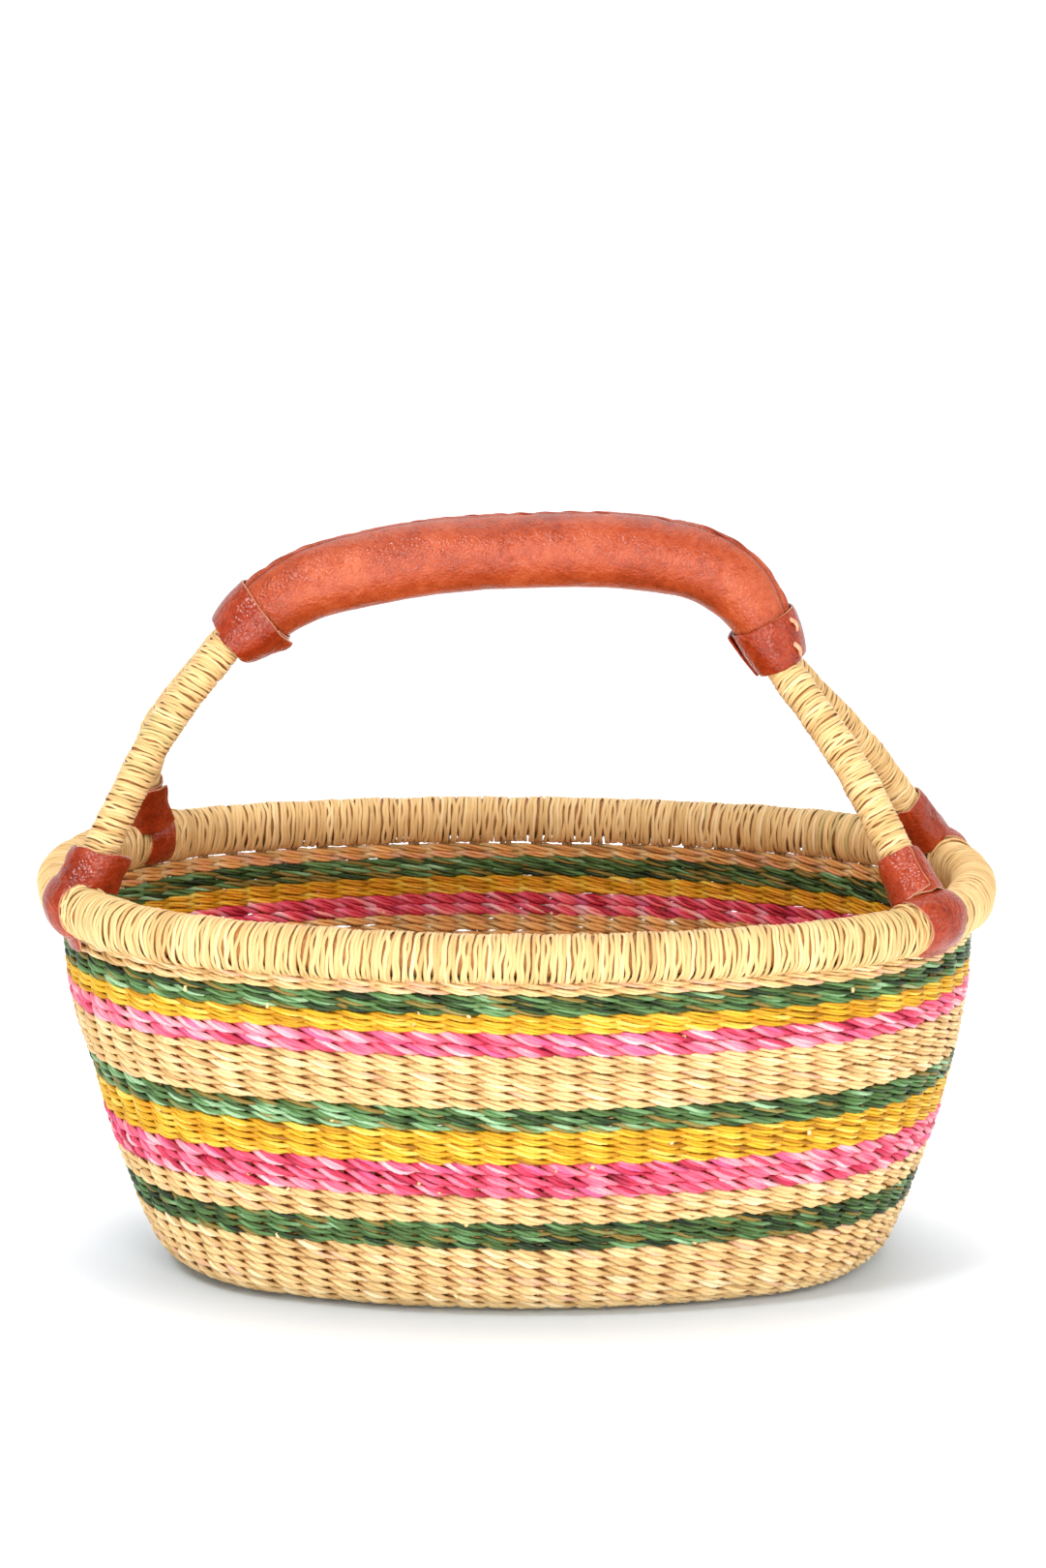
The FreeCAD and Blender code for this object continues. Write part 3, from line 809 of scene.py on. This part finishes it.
class Line:
    """Straight runs joined by tangent arcs, with points given by distance along."""

    def __init__(self, points):
        points = [np.asarray(p, float) for p in points]
        trail = [points[0]]
        for before, corner, after in zip(points, points[1:], points[2:]):
            back, ahead = before - corner, after - corner
            reach = BEND_REACH * min(np.linalg.norm(back), np.linalg.norm(ahead))
            back, ahead = unit(back), unit(ahead)
            half = (math.pi - math.acos(float(back @ ahead))) / 2
            radius = reach / math.tan(half)
            middle = corner + unit(back + ahead) * radius / math.cos(half)
            first, last = corner + back * reach - middle, corner + ahead * reach - middle
            share = np.linspace(0, 1, 24)[:, None]
            turn = 2 * half
            arc = (np.sin((1 - share) * turn) * first + np.sin(share * turn) * last) / math.sin(turn)
            trail += list(middle + arc)
        trail.append(points[-1])
        self.trail = np.array(trail)
        steps = np.linalg.norm(np.diff(self.trail, axis=0), axis=1)
        self.distance = np.concatenate([[0], np.cumsum(steps)])
        self.length = self.distance[-1]

    def at(self, distance):
        return np.stack([np.interp(distance, self.distance, self.trail[:, i]) for i in range(3)], -1)

    def along(self, distance):
        step = 1.5 * MM
        return unit(self.at(distance + step) - self.at(distance - step))

    def across(self, distance, reference):
        """Two directions square to the line: the one nearest a reference, and the next."""
        along = self.along(distance)
        first = np.asarray(reference, float) - along * (along @ np.asarray(reference, float))[..., None]
        first = unit(first)
        return first, np.cross(along, first)


def arc_centre(name):
    """Centre of the rim's end arc on a leg's side."""
    return np.array([LEGS[name][0] * (HALF_LENGTH - END_RADIUS), 0, RIM_HEIGHT])


def outward_at(name):
    turn = math.radians(LEGS[name][2])
    return np.array([math.cos(turn), math.sin(turn), 0])


def anchor(name):
    return arc_centre(name) + END_RADIUS * outward_at(name)


def leg_line(name):
    """A leg from the rim up to a little way inside the grip."""
    side, depth, _, between = LEGS[name]
    shift = np.array([0, depth * HOOP_OFFSET, 0])
    end, inner = (GRIP_LINE[0], GRIP_LINE[1]) if side < 0 else (GRIP_LINE[-1], GRIP_LINE[-2])
    inside = end + unit(inner - end) * LEG_INSIDE_GRIP
    between = [MM * np.array(point) for point in between[::-1]]
    return Line([anchor(name), *between, end + shift, inside + shift])


LEG_PITCH = 1.5 * MM
LEG_STRAW = 1.72 * MM


def make_legs():
    rng = np.random.default_rng(SEED + 4)
    for name in LEGS:
        line = leg_line(name)
        reference = outward_at(name)
        first = RIM_RADIUS * 0.4

        def place(share):
            return first + share * (line.length - first)

        def radius(share, angle):
            lumps = 0.16 * np.sin(share * 31 + 1) + 0.14 * np.sin(share * 47)
            return LEG_RADIUS - 0.4 * MM + lumps * MM

        turns = 3 * round((line.length - first) / (3 * LEG_PITCH))
        winding(name + "_wound_straw", rng, lambda s: line.at(place(s)),
                lambda s: line.across(place(s), reference), radius, turns, 3,
                name + "_leg_winding", straw_width=LEG_STRAW)
        share = np.linspace(0, 1, 60)
        nodes = ()
        if name.endswith("_left"):
            nodes = (name.split("_")[0] + "_hoop_core",)
        bundle(name + "_bundle", line.at(place(share)), line.across(place(share), reference)[0],
               LEG_RADIUS - BUNDLE_DEPTH, *nodes)


LASHING_LOOPS = 12
LASHING_REACH = 17 * MM
LASHING_RADIUS = RIM_RADIUS + 0.6 * MM


def make_lashings():
    """Straw loops over the rim beside each leg, under the leather strap."""
    rng = np.random.default_rng(SEED + 5)
    for name in LEGS:
        centre = arc_centre(name)
        middle = math.radians(LEGS[name][2])
        half = LASHING_REACH / END_RADIUS

        def outward(share):
            return level_way(middle + half * (2 * share - 1))

        def path(share):
            return centre + END_RADIUS * outward(share)

        def across(share):
            way = outward(share)
            return way, vertical(way, 1)

        def radius(share, angle):
            return LASHING_RADIUS + 0 * share

        winding(name + "_lashing_straw", rng, path, across, radius, LASHING_LOOPS, 1,
                name + "_lashing", wander=1.3, steps=30)


# ---- leather ---------------------------------------------------------------------------


def steps_to_edges(count):
    """Shares from 0 to 1 that crowd near both ends, for rounded sheet edges."""
    edge = np.array([0, 0.004, 0.012, 0.025, 0.045])
    return np.concatenate([edge, np.linspace(0.07, 0.93, count), 1 - edge[::-1]])


def wrinkles(rng, shape, scale_rows, scale_columns):
    """Smooth random values about -1 to 1 on a grid."""
    knots = rng.uniform(-1, 1, (scale_rows + 1, scale_columns + 1))
    row = np.linspace(0, scale_rows, shape[0])
    column = np.linspace(0, scale_columns, shape[1])
    across = np.array([np.interp(column, np.arange(scale_columns + 1), line) for line in knots])
    grid = np.array([np.interp(row, np.arange(scale_rows + 1), line) for line in across.T]).T
    return grid


EDGE_ROUND = 0.9 * MM
EDGE_PALE = 0.45 * MM


def sheet(name, surface, thickness, node, pale=None):
    """A leather sheet: a grid of points given thickness, with rounded and lighter edges."""
    rows, columns, _ = surface.shape
    row_way = np.gradient(surface, axis=0)
    column_way = np.gradient(surface, axis=1)
    normal = unit(np.cross(row_way, column_way))

    def distance_to_edge(axis):
        way = np.linalg.norm(np.diff(surface, axis=axis), axis=-1)
        zero = np.zeros_like(np.take(way, [0], axis=axis))
        run = np.concatenate([zero, np.cumsum(way, axis)], axis)
        total = np.take(run, [-1], axis=axis)
        return np.minimum(run, total - run)

    near = np.minimum(distance_to_edge(0), distance_to_edge(1))
    share = np.clip(near / EDGE_ROUND, 0, 1)
    half = thickness / 2 * np.sqrt(np.clip(1 - (1 - share) ** 2, 0.02, 1))
    top = surface + normal * half[..., None]
    low = surface - normal * half[..., None]
    points = np.concatenate([top, low[:, ::-1]], 1)
    quads, row, column = grid_quads(rows, 2 * columns, False, True)
    k = np.arange(columns - 1)
    first_cap = np.stack([k, k + 1, 2 * columns - 2 - k, 2 * columns - 1 - k], 1)
    caps, cap_rows, cap_columns = [], [], []
    for end, cap in ((0, first_cap), (rows - 1, first_cap[:, ::-1])):
        caps.append(end * 2 * columns + cap)
        cap_rows.append(np.full(cap.shape, end))
        cap_columns.append(cap)
    bake = np.stack([np.concatenate([row] + cap_rows) / (rows - 1),
                     np.concatenate([column] + cap_columns) / (2 * columns)], -1)
    quads = np.concatenate([quads] + caps)
    rim = np.clip(1 - near / EDGE_PALE, 0, 1)
    if pale is not None:
        rim = rim * pale(np.linspace(0, 1, columns))[None]
    rim = np.concatenate([rim, rim[:, ::-1]], 1).ravel()
    make_object(name, uneven(points.reshape(-1, 3)), quads, None, bake.reshape(-1, 2),
                tone_values(rim), FITTING_LEATHER, "fitting_leather", node)


LEATHER_SPECULAR = 0.45
SHINE_SPREAD = 0.16
SHADE_SHARE = 0.35


def leather_material(name, light, middle, dark, roughness, grain_scale, edge_colour, mottle=0.95):
    """Hand-dyed leather: soft mottling, fine grain, satin shine and pale cut edges."""
    tree = Tree(name)
    place = tree.add("ShaderNodeTexCoord").outputs["Object"]
    spread = tree.noise(place, Scale=38.0, Detail=5.0, Roughness=0.6)
    fine = tree.noise(place, Scale=260.0, Detail=4.0, Roughness=0.65)
    grain = tree.add("ShaderNodeTexVoronoi", Vector=place, Scale=grain_scale)
    wave = tree.noise(place, Scale=70.0, Detail=2.0, Distortion=1.4)
    value = tree.math("MULTIPLY_ADD", fine, mottle, spread)
    middle_at = 0.5 * (1 + mottle)
    colour = tree.ramp(value, ((middle_at - 0.35, dark), (middle_at, middle), (middle_at + 0.30, light)))
    stored = tree.stored_tone()
    # Painted shade where the stored shade is set, as in the grip's seam groove
    colour = tree.mix(stored["Blue"], colour, tuple(SHADE_SHARE * c for c in dark))
    colour = tree.mix(stored["Red"], colour, edge_colour)
    shine = tree.remap(fine, 0.0, 1.0, roughness - SHINE_SPREAD, roughness + SHINE_SPREAD)
    tree.surface(colour, shine, LEATHER_SPECULAR)
    height = tree.math("MULTIPLY", grain.outputs["Distance"], 0.6)
    tree.bump(tree.math("MULTIPLY_ADD", wave, 2.2, height), 0.6, 0.75 * MM)
    return tree.material


GRIP_LEATHER = leather_material("grip_leather", (0.55, 0.112, 0.036), (0.43, 0.062, 0.015),
                                (0.23, 0.022, 0.004), 0.31, 820.0, (0.62, 0.30, 0.16), mottle=0.70)
FITTING_LEATHER = leather_material("fitting_leather", (0.43, 0.052, 0.010), (0.315, 0.030, 0.005),
                                   (0.17, 0.012, 0.002), 0.27, 640.0, (0.66, 0.36, 0.20))
LACE_LEATHER = leather_material("lace_leather", (0.44, 0.080, 0.030), (0.32, 0.046, 0.016),
                                (0.18, 0.020, 0.007), 0.42, 900.0, (0.62, 0.30, 0.16))
THONG_LEATHER = leather_material("thong_leather", (0.88, 0.50, 0.32), (0.78, 0.38, 0.22),
                                 (0.55, 0.22, 0.12), 0.5, 900.0, (0.8, 0.5, 0.35))

GRIP_RADIUS = 17 * MM
SEAM_MIDDLE = math.radians(79)
SEAM_ENDS = (math.radians(116), math.radians(124))
GRIP_INSET = 4 * MM
GRIP_ROWS = 260
GRIP_COLUMNS = 120


def grip_frame(distance, line):
    """Across the grip: +Y first, then up."""
    return line.across(distance, (0, 1, 0))


def seam_turn(share):
    """Where the seam lies about the grip: just behind its top, and forward at both ends."""
    left, right = np.clip(1 - share / 0.3, 0, 1), np.clip((share - 0.68) / 0.32, 0, 1)
    turn = SEAM_MIDDLE + (SEAM_ENDS[0] - SEAM_MIDDLE) * left**1.5
    return turn + (SEAM_ENDS[1] - SEAM_MIDDLE) * right**1.5


def swell(near, width):
    return np.exp(-((near / width) ** 2))


GRIP_TAPER = 4.0 * MM
TAPER_LENGTH = 22 * MM


def grip_radius(near_end):
    """Radius of the grip, a little slimmer towards its ends."""
    return GRIP_RADIUS - GRIP_TAPER * np.exp(-near_end / TAPER_LENGTH)


RIGHT_TUCK = 3.2 * MM


def right_tuck(from_end, underside):
    """How much slimmer the grip is under its right end; underside is 1 right below it."""
    return RIGHT_TUCK * swell(from_end - 16 * MM, 20 * MM) * np.clip(underside, 0, 1)


def make_grip():
    """Stitched leather tube, closed at both ends, with a seam ridge along its top."""
    rng = np.random.default_rng(SEED + 6)
    line = Line(GRIP_LINE)
    rows, columns = GRIP_ROWS, GRIP_COLUMNS
    share = np.linspace(0, 1, rows)
    distance = GRIP_INSET + share * (line.length - 2 * GRIP_INSET)
    angle = np.arange(columns) * TURN / columns
    first, second = grip_frame(distance, line)
    near_end = np.minimum(distance, line.length - distance)
    radius = grip_radius(near_end)
    radius = radius[:, None] - right_tuck(line.length - distance[:, None], -np.sin(angle))
    fold = wrinkles(rng, (rows, columns), 34, 9)
    fold = fold * 0.25 + wrinkles(rng, (rows, columns), 14, 6) * 0.45
    radius = radius + fold * MM
    off = np.mod(angle - seam_turn(share)[:, None] + math.pi, TURN) - math.pi
    groove = swell(off - 0.19, 0.045)
    ridge = 0.8 * swell(off, 0.09) - 0.7 * groove - 0.3 * swell(off + 0.2, 0.06)
    radius = radius + ridge * MM * (0.8 + 0.15 * np.sin(distance / MM * 0.5))[:, None]
    close = np.clip((np.minimum(share, 1 - share) * (rows - 1)) / 3, 0, 1)
    radius = radius * np.sqrt(close * (2 - close))[:, None]
    way = way_at(first[:, None], second[:, None], angle)
    points = line.at(distance)[:, None] + way * radius[..., None]
    quads, row, column = grid_quads(rows, columns, False, True)
    bake = np.stack([row / (rows - 1), column / columns], -1).reshape(-1, 2)
    # Painted shade in the seam's groove
    tones = tone_values(0.0, 0.0, 0.6 * groove)
    make_object("grip_leather", uneven(points.reshape(-1, 3)), quads[:, ::-1], None, bake, tones,
                GRIP_LEATHER, "grip_leather", "grip_cover", "grip_padding")
    make_lacing(line)


LACE_PITCH = 11.5 * MM
LACE_STITCH = 13.5 * MM


def make_lacing(line):
    """Flat lace stitches laid slantwise along the seam."""
    rng = np.random.default_rng(SEED + 7)
    start = BAND_LENGTH - 2 * MM
    count = int((line.length - 2 * start) / LACE_PITCH)
    samples = 14
    share = np.linspace(0, 1, samples)
    centres, ways, widths, thick = [], [], [], []
    for i in range(count):
        middle = start + (i + 0.6 + 0.12 * rng.uniform(-1, 1)) * LACE_PITCH
        distance = middle + (share - 0.5) * LACE_STITCH * (1 + 0.1 * rng.uniform(-1, 1))
        turn = seam_turn(distance / line.length) + (share - 0.5) * 0.26 + 0.05 * rng.uniform(-1, 1)
        first, second = grip_frame(distance, line)
        way = way_at(first, second, turn)
        arch = np.sin(math.pi * share)
        out = grip_radius(np.minimum(distance, line.length - distance)) - 0.5 * MM
        out = out + 0.9 * MM * arch**0.7
        centres.append(line.at(distance) + way * out[:, None])
        ways.append(way)
        widths.append(0.95 * MM * (0.15 + arch**0.8))
        thick.append(0.45 * MM * (0.2 + arch**0.8))
    tubes("lace_stitches", np.array(centres), np.array(ways), np.array(thick), np.array(widths),
          tone_values(np.zeros((count, samples))), LACE_LEATHER, "lace_leather", "grip_lacing",
          closed=False, sides=8)


WRAP_ROWS = 26
WRAP_COLUMNS = 150


def wrap(name, rng, line, first_distance, last_distance, reference, radius, start_turn, turn,
         thickness, node, ragged, rumple, peel, peel_from=0.0, tilt=0.0, tilt_at=0.0, pale=None):
    """A leather strip wrapped round a line, its end lapping over its start.

    radius(distance grid, angle grid) gives the section; distances may run either way. The
    free end stands off by peel on the part of the strip's width past peel_from. The strip
    may lie askew, highest at the angle tilt_at. pale gives how pale the cut edge is.
    """
    u = steps_to_edges(WRAP_ROWS)
    v = steps_to_edges(WRAP_COLUMNS)
    shape = (len(u), len(v))
    swept = turn * v
    angle = start_turn + swept
    low = wrinkles(rng, (2, len(v)), 1, 16) * ragged * MM
    distance = first_distance + (last_distance - first_distance) * u[:, None] * np.ones(len(v))
    distance = distance + low[0] * (1 - u[:, None]) + low[1] * u[:, None]
    lap = ease(np.clip((swept - TURN + 0.7) / 0.6, 0, 1)) * (thickness + 0.15 * MM)
    size = radius(distance, angle[None] + 0 * distance)
    crease = wrinkles(rng, shape, 4, 14) * rumple + wrinkles(rng, shape, 9, 40) * 0.3 * rumple
    window = np.clip((u - peel_from) / 0.3, 0, 1) if peel_from else np.ones(len(u))
    window = window * (1 - 0.5 * np.clip((u - 0.88) / 0.12, 0, 1) ** 2)
    free = (np.clip((v - 0.93) / 0.07, 0, 1) ** 2 * peel)[None] * ease(window)[:, None]
    distance = distance + free * 0.5 * (0.5 - u[:, None])
    distance = distance + tilt * np.cos(angle - tilt_at)
    size = size + lap + crease * MM + free * (0.75 + 0.25 * np.sin(u * 7.0 + 1.0))[:, None]
    flat = distance.ravel()
    first, second = line.across(flat, reference)
    centre = line.at(flat)
    way = way_at(first, second, (angle[None] + 0 * distance).ravel())
    surface = (centre + way * size.ravel()[:, None]).reshape(*shape, 3)
    sheet(name, surface, thickness, node, pale)


BAND_END_HALF_HEIGHT = 12.0 * MM
BAND_HALF_DEPTH = 17.2 * MM
BAND_THICKNESS = 1.3 * MM
BAND_LAP = 0.8


def make_grip_bands():
    """Glossy cuffs wrapped round both ends of the grip and the legs that leave it."""
    rng = np.random.default_rng(SEED + 8)
    for name, side, node in (("left", -1, "grip_left_band"), ("right", 1, "grip_right_band")):
        points = GRIP_LINE if side < 0 else GRIP_LINE[::-1]
        line = Line(points)

        def radius(distance, angle):
            share = np.clip(distance / BAND_LENGTH, 0, 1)
            full = grip_radius(BAND_LENGTH) + 1.1 * MM
            height = BAND_END_HALF_HEIGHT + (full - BAND_END_HALF_HEIGHT) * share**0.7
            size = 1 / np.sqrt((np.cos(angle) / BAND_HALF_DEPTH) ** 2 + (np.sin(angle) / height) ** 2)
            if side > 0:
                size = size - right_tuck(distance, np.sin(angle))
            return size + 0.8 * MM * np.sin(math.pi * share)

        free_edge = math.radians(-100 if side < 0 else 100)
        wrap(name + "_grip_cuff", rng, line, -1.5 * MM, BAND_LENGTH, (0, 1, 0), radius,
             free_edge - TURN - BAND_LAP, TURN + BAND_LAP, BAND_THICKNESS, node, ragged=0.5,
             rumple=0.3, peel=(1.9 if side < 0 else 0.8) * MM, peel_from=0.5,
             pale=None if side < 0 else right_cuff_pale)


def right_cuff_pale(share):
    """The right cuff's edge melts into the grip but for the part near the seam."""
    return swell(share - 0.46, 0.08)


STRAP_ROWS = 70
STRAP_COLUMNS = 30
STRAP_ENDS = (math.radians(-70), math.radians(238))
# Of each strap: length of its tail, half width, width of the tail as a share, and how far
# the tail slants along the rim
STRAPS = {
    "front_left": (6.5, 8.6, 0.85, 6.5),
    "rear_left": (5.0, 9.0, 0.9, 0.0),
    "front_right": (2.5, 12.6, 1.1, 0.0),
    "rear_right": (2.5, 10.0, 0.95, 0.0),
}


def strap_surface(name, rng):
    """Leather strap over the rim: from its tail outside, over the top, to its inner end."""
    middle = math.radians(LEGS[name][2])
    u = steps_to_edges(STRAP_ROWS)
    v = steps_to_edges(STRAP_COLUMNS)
    across = 2 * v - 1
    tail_length, half_width, tail_share, slant = STRAPS[name]
    tail_length, half_width, slant = tail_length * MM, half_width * MM, slant * MM
    base = RIM_RADIUS + 2.0 * MM
    first, last = STRAP_ENDS
    arc = base * (last - first)
    run = u * (arc + tail_length)
    turn = first + np.clip(run - tail_length, 0, None) / base
    below = np.clip(tail_length - run, 0, None)
    width = half_width * (1 - (1 - tail_share) * np.clip((0.3 - u) / 0.3, 0, 1) ** 1.5)
    width = width * (1 - 0.12 * np.sin(u * 9)) * np.clip(0.55 + 9 * u, 0, 1) ** 0.5
    edge = wrinkles(rng, (len(u), 2), 12, 1) * 0.8 * MM
    lift = 1.6 * MM * (1 - across[None] ** 2) * np.sin(np.clip(u, 0, 1) * math.pi)[:, None] ** 0.5
    lift = lift - 0.9 * MM * across[None] ** 4
    lift = lift + wrinkles(rng, (len(u), len(v)), 10, 5) * 0.35 * MM
    size = base + lift
    side = across[None] * width[:, None] + np.where(across[None] < 0, edge[:, :1], edge[:, 1:])
    side = side + slant * np.clip(1 - u / 0.45, 0, 1)[:, None]
    out = END_RADIUS + size * np.cos(turn)[:, None] - below[:, None] * 0.25
    height = size * np.sin(turn)[:, None] - below[:, None]
    angle = middle + side / END_RADIUS
    return np.stack([out * np.cos(angle), out * np.sin(angle), height], -1) + arc_centre(name)


STRAP_SHEET = 1.5 * MM
COLLAR_SHEET = 1.5 * MM
COLLAR_LAP = 1.1
# Of each collar: its two ends up the leg, the angle about the leg where its sheet starts,
# how far it stands off the leg at its top, how far and where it is pulled up askew, and how
# far its free edge peels off
COLLARS = {
    "front_left": (8.0, 26.0, 1.55, 2.4, 2.6, 2.8, 1.6),
    "rear_left": (11.0, 37.0, 2.6, 0.4, 1.0, 0.5, 1.2),
    "front_right": (10.5, 33.0, -1.55, 0.8, 0.6, 0.0, 2.4),
    "rear_right": (10.5, 36.0, 1.2, 0.4, 0.6, 0.0, 1.2),
}


def make_fittings():
    """Strap and wrapped collar at the foot of each leg."""
    rng = np.random.default_rng(SEED + 9)
    for name, (low, high, lap_at, stand, askew, askew_at, peel) in COLLARS.items():
        sheet(name + "_strap", strap_surface(name, rng), STRAP_SHEET, name + "_rim_strap")
        line = leg_line(name)

        def radius(distance, angle):
            share = (distance - low * MM) / ((high - low) * MM)
            flare = 2.4 * MM * np.clip(1 - share, 0, 1) ** 1.6
            tuck = 0.5 * MM * np.clip(share, 0, 1) ** 4
            wide = stand * MM * np.clip(share + 0.3, 0, 1)
            return LEG_RADIUS + 0.4 * MM + COLLAR_SHEET / 2 + flare - tuck + wide

        wrap(name + "_collar_wrap", rng, line, low * MM, high * MM, outward_at(name), radius, lap_at,
             TURN + COLLAR_LAP, COLLAR_SHEET, name + "_collar", ragged=1.0, rumple=0.6,
             peel=peel * MM, tilt=askew * MM, tilt_at=askew_at)


THONG_HALF_THICKNESS = 0.6 * MM


def make_collar_tie():
    """The thong round the rear left collar."""
    line = leg_line("rear_left")
    samples = 60
    angle = np.arange(samples) * TURN / samples
    distance = (24 + 1.6 * np.sin(angle + 1)) * MM
    first, second = line.across(distance, outward_at("rear_left"))
    way = way_at(first, second, angle)
    point = line.at(distance) + way * (LEG_RADIUS + 2.5 * MM)
    tubes("rear_left_thong", point[None], way[None], THONG_HALF_THICKNESS, 1.1 * MM,
          tone_values(np.zeros((1, samples))), LACE_LEATHER, "lace_leather", "rear_left_tie", sides=8)


# Of each thong on the right cuff: its distance from the grip's end and its angle round the grip
CUFF_THONGS = ((5.0, math.pi - 0.80), (15.0, math.pi - 0.98))


def make_cuff_thongs():
    """The two short thongs on the right cuff."""
    line = Line(GRIP_LINE[::-1])
    samples = 16
    share = np.linspace(0, 1, samples)
    centres, ways = [], []
    for along, turned in CUFF_THONGS:
        distance = along * MM + (share - 0.5) * 7.5 * MM
        turn = turned + 0.16 * (share - 0.5)
        first, second = grip_frame(distance, line)
        spot = BAND_END_HALF_HEIGHT + (GRIP_RADIUS - BAND_END_HALF_HEIGHT) * distance / BAND_LENGTH
        up = -np.sin(turn) * spot
        side = np.cos(turn) * GRIP_RADIUS
        size = np.hypot(up, side)
        way = (first * side[:, None] + second * up[:, None]) / size[:, None]
        arch = np.sin(math.pi * share)
        centres.append(line.at(distance) + way * (size + 0.6 * MM + 2.0 * MM * arch)[:, None])
        ways.append(way)
    tubes("cuff_thongs", np.array(centres), np.array(ways), THONG_HALF_THICKNESS, 1.2 * MM,
          tone_values(np.zeros((len(CUFF_THONGS), samples))), THONG_LEATHER, "lace_leather",
          "grip_right_band_ties", closed=False, sides=8)


# ---- floor, light and camera -----------------------------------------------------------


FLOOR_REACH = 60.0
BACKDROP_START = 3.0
BACKDROP_BEND = 1.6
BACKDROP_STEPS = 24
BACKDROP_TOP = 5.0
# The floor glows but for an oval under the basket, whose half widths across the basket are
# given where the glow starts and where it is full; GLOW_OVAL stretches it lengthwise
GLOW_START = 0.085
GLOW_FULL = 0.18
GLOW_OVAL = (0.55, 1.0, 1.0)
GLOW = 0.55
# Under the basket the floor is cooler, which cancels the warm light the straw throws on it
FLOOR_NEAR = (0.72, 0.82, 0.92)
FLOOR_FAR = (0.93, 0.93, 0.93)


def floor_material():
    tree = Tree("floor_white")
    tree.shader.inputs["Roughness"].default_value = 0.9
    tree.shader.inputs["Emission Color"].default_value = (1, 1, 1, 1)
    place = tree.scaled(tree.add("ShaderNodeTexCoord").outputs["Object"], GLOW_OVAL)
    length = tree.add("ShaderNodeVectorMath", operation="LENGTH")
    tree.feed(place, length.inputs[0])
    glow = tree.remap(length.outputs["Value"], GLOW_START, GLOW_FULL, 0.0, GLOW, "SMOOTHSTEP")
    tree.feed(glow, tree.shader.inputs["Emission Strength"])
    colour = tree.mix(tree.math("DIVIDE", glow, GLOW), FLOOR_NEAR, FLOOR_FAR)
    tree.feed(colour, tree.shader.inputs["Base Color"])
    return tree.material


def make_stage():
    """A white floor that bends up into a backdrop behind the basket."""
    profile = [(-FLOOR_REACH, 0.0), (BACKDROP_START, 0.0)]
    for i in range(1, BACKDROP_STEPS + 1):
        angle = math.pi / 2 * i / BACKDROP_STEPS
        profile.append((BACKDROP_START + BACKDROP_BEND * math.sin(angle),
                        BACKDROP_BEND * (1 - math.cos(angle))))
    profile.append((BACKDROP_START + BACKDROP_BEND, BACKDROP_TOP))
    points = [(x, y, z) for y, z in profile for x in (-FLOOR_REACH, FLOOR_REACH)]
    quads = [(2 * i, 2 * i + 1, 2 * i + 3, 2 * i + 2) for i in range(len(profile) - 1)]
    mesh = bpy.data.meshes.new("floor")
    mesh.from_pydata(points, [], quads)
    mesh.materials.append(floor_material())
    place_object("floor", mesh)


def look_along(way):
    """Euler turn that points an object's -Z along a direction, with +Y up."""
    x, y, z = way / np.linalg.norm(way)
    pitch = math.acos(max(-1.0, min(1.0, -z)))
    yaw = math.atan2(-x, y)
    return (pitch, 0.0, yaw)


WORLD_LIGHT = 0.36
WHITE = (1.0, 1.0, 1.0)
# Of each light: its place, the point it faces, its size, its power and its colour
LIGHTS = {
    "front": ((-0.45, -2.1, 0.30), (0, 0, 0.10), (0.9, 0.5), 13, WHITE),
    "key": ((-1.0, -1.3, 2.0), (0, 0, 0.15), (0.45, 0.45), 22, WHITE),
    "inside": ((0.3, -1.5, 1.0), (0, 0.12, 0.15), (0.6, 0.6), 10, (1.0, 0.96, 0.90)),
    "side": ((1.7, -1.0, 1.1), (0, 0, 0.15), (1.0, 1.0), 9, WHITE),
    "top": ((0.1, 0.7, 2.2), (0, 0, 0.1), (1.8, 1.4), 16, WHITE),
}


def make_light():
    world = bpy.data.worlds.new("studio")
    world.use_nodes = True
    background = world.node_tree.nodes["Background"]
    background.inputs["Color"].default_value = (*WHITE, 1)
    background.inputs["Strength"].default_value = WORLD_LIGHT
    bpy.context.scene.world = world
    for name, (place, target, size, power, colour) in LIGHTS.items():
        light = bpy.data.lights.new(name, "AREA")
        light.shape = "RECTANGLE"
        light.size, light.size_y = size
        light.energy = power
        light.color = colour
        lamp = place_object(name, light)
        lamp.location = place
        lamp.rotation_euler = look_along(np.array(target) - np.array(place))


CAMERA_AZIMUTH = math.radians(0.755)
CAMERA_ELEVATION = math.radians(12.42)
CAMERA_DISTANCE = 1.7769
CAMERA_AIM = (2.98 * MM, 0.0, 225.0 * MM)
CAMERA_LENS = 89.2
SENSOR = 36.0


def make_camera():
    back = np.array([math.sin(CAMERA_AZIMUTH) * math.cos(CAMERA_ELEVATION),
                     -math.cos(CAMERA_AZIMUTH) * math.cos(CAMERA_ELEVATION),
                     math.sin(CAMERA_ELEVATION)])
    data = bpy.data.cameras.new("camera")
    data.lens = CAMERA_LENS
    data.sensor_width = SENSOR
    data.sensor_fit = "AUTO"
    camera = place_object("camera", data)
    camera.location = np.array(CAMERA_AIM) + back * CAMERA_DISTANCE
    camera.rotation_euler = look_along(-back)
    bpy.context.scene.camera = camera


# ---- the whole basket --------------------------------------------------------------

make_camera()
make_stage()
make_light()
bpy.context.scene.view_settings.view_transform = "Standard"
make_wall()
make_stubs()
make_base()
make_stakes()
make_rim()
make_legs()
make_lashings()
make_grip()
make_grip_bands()
make_fittings()
make_collar_tie()
make_cuff_thongs()
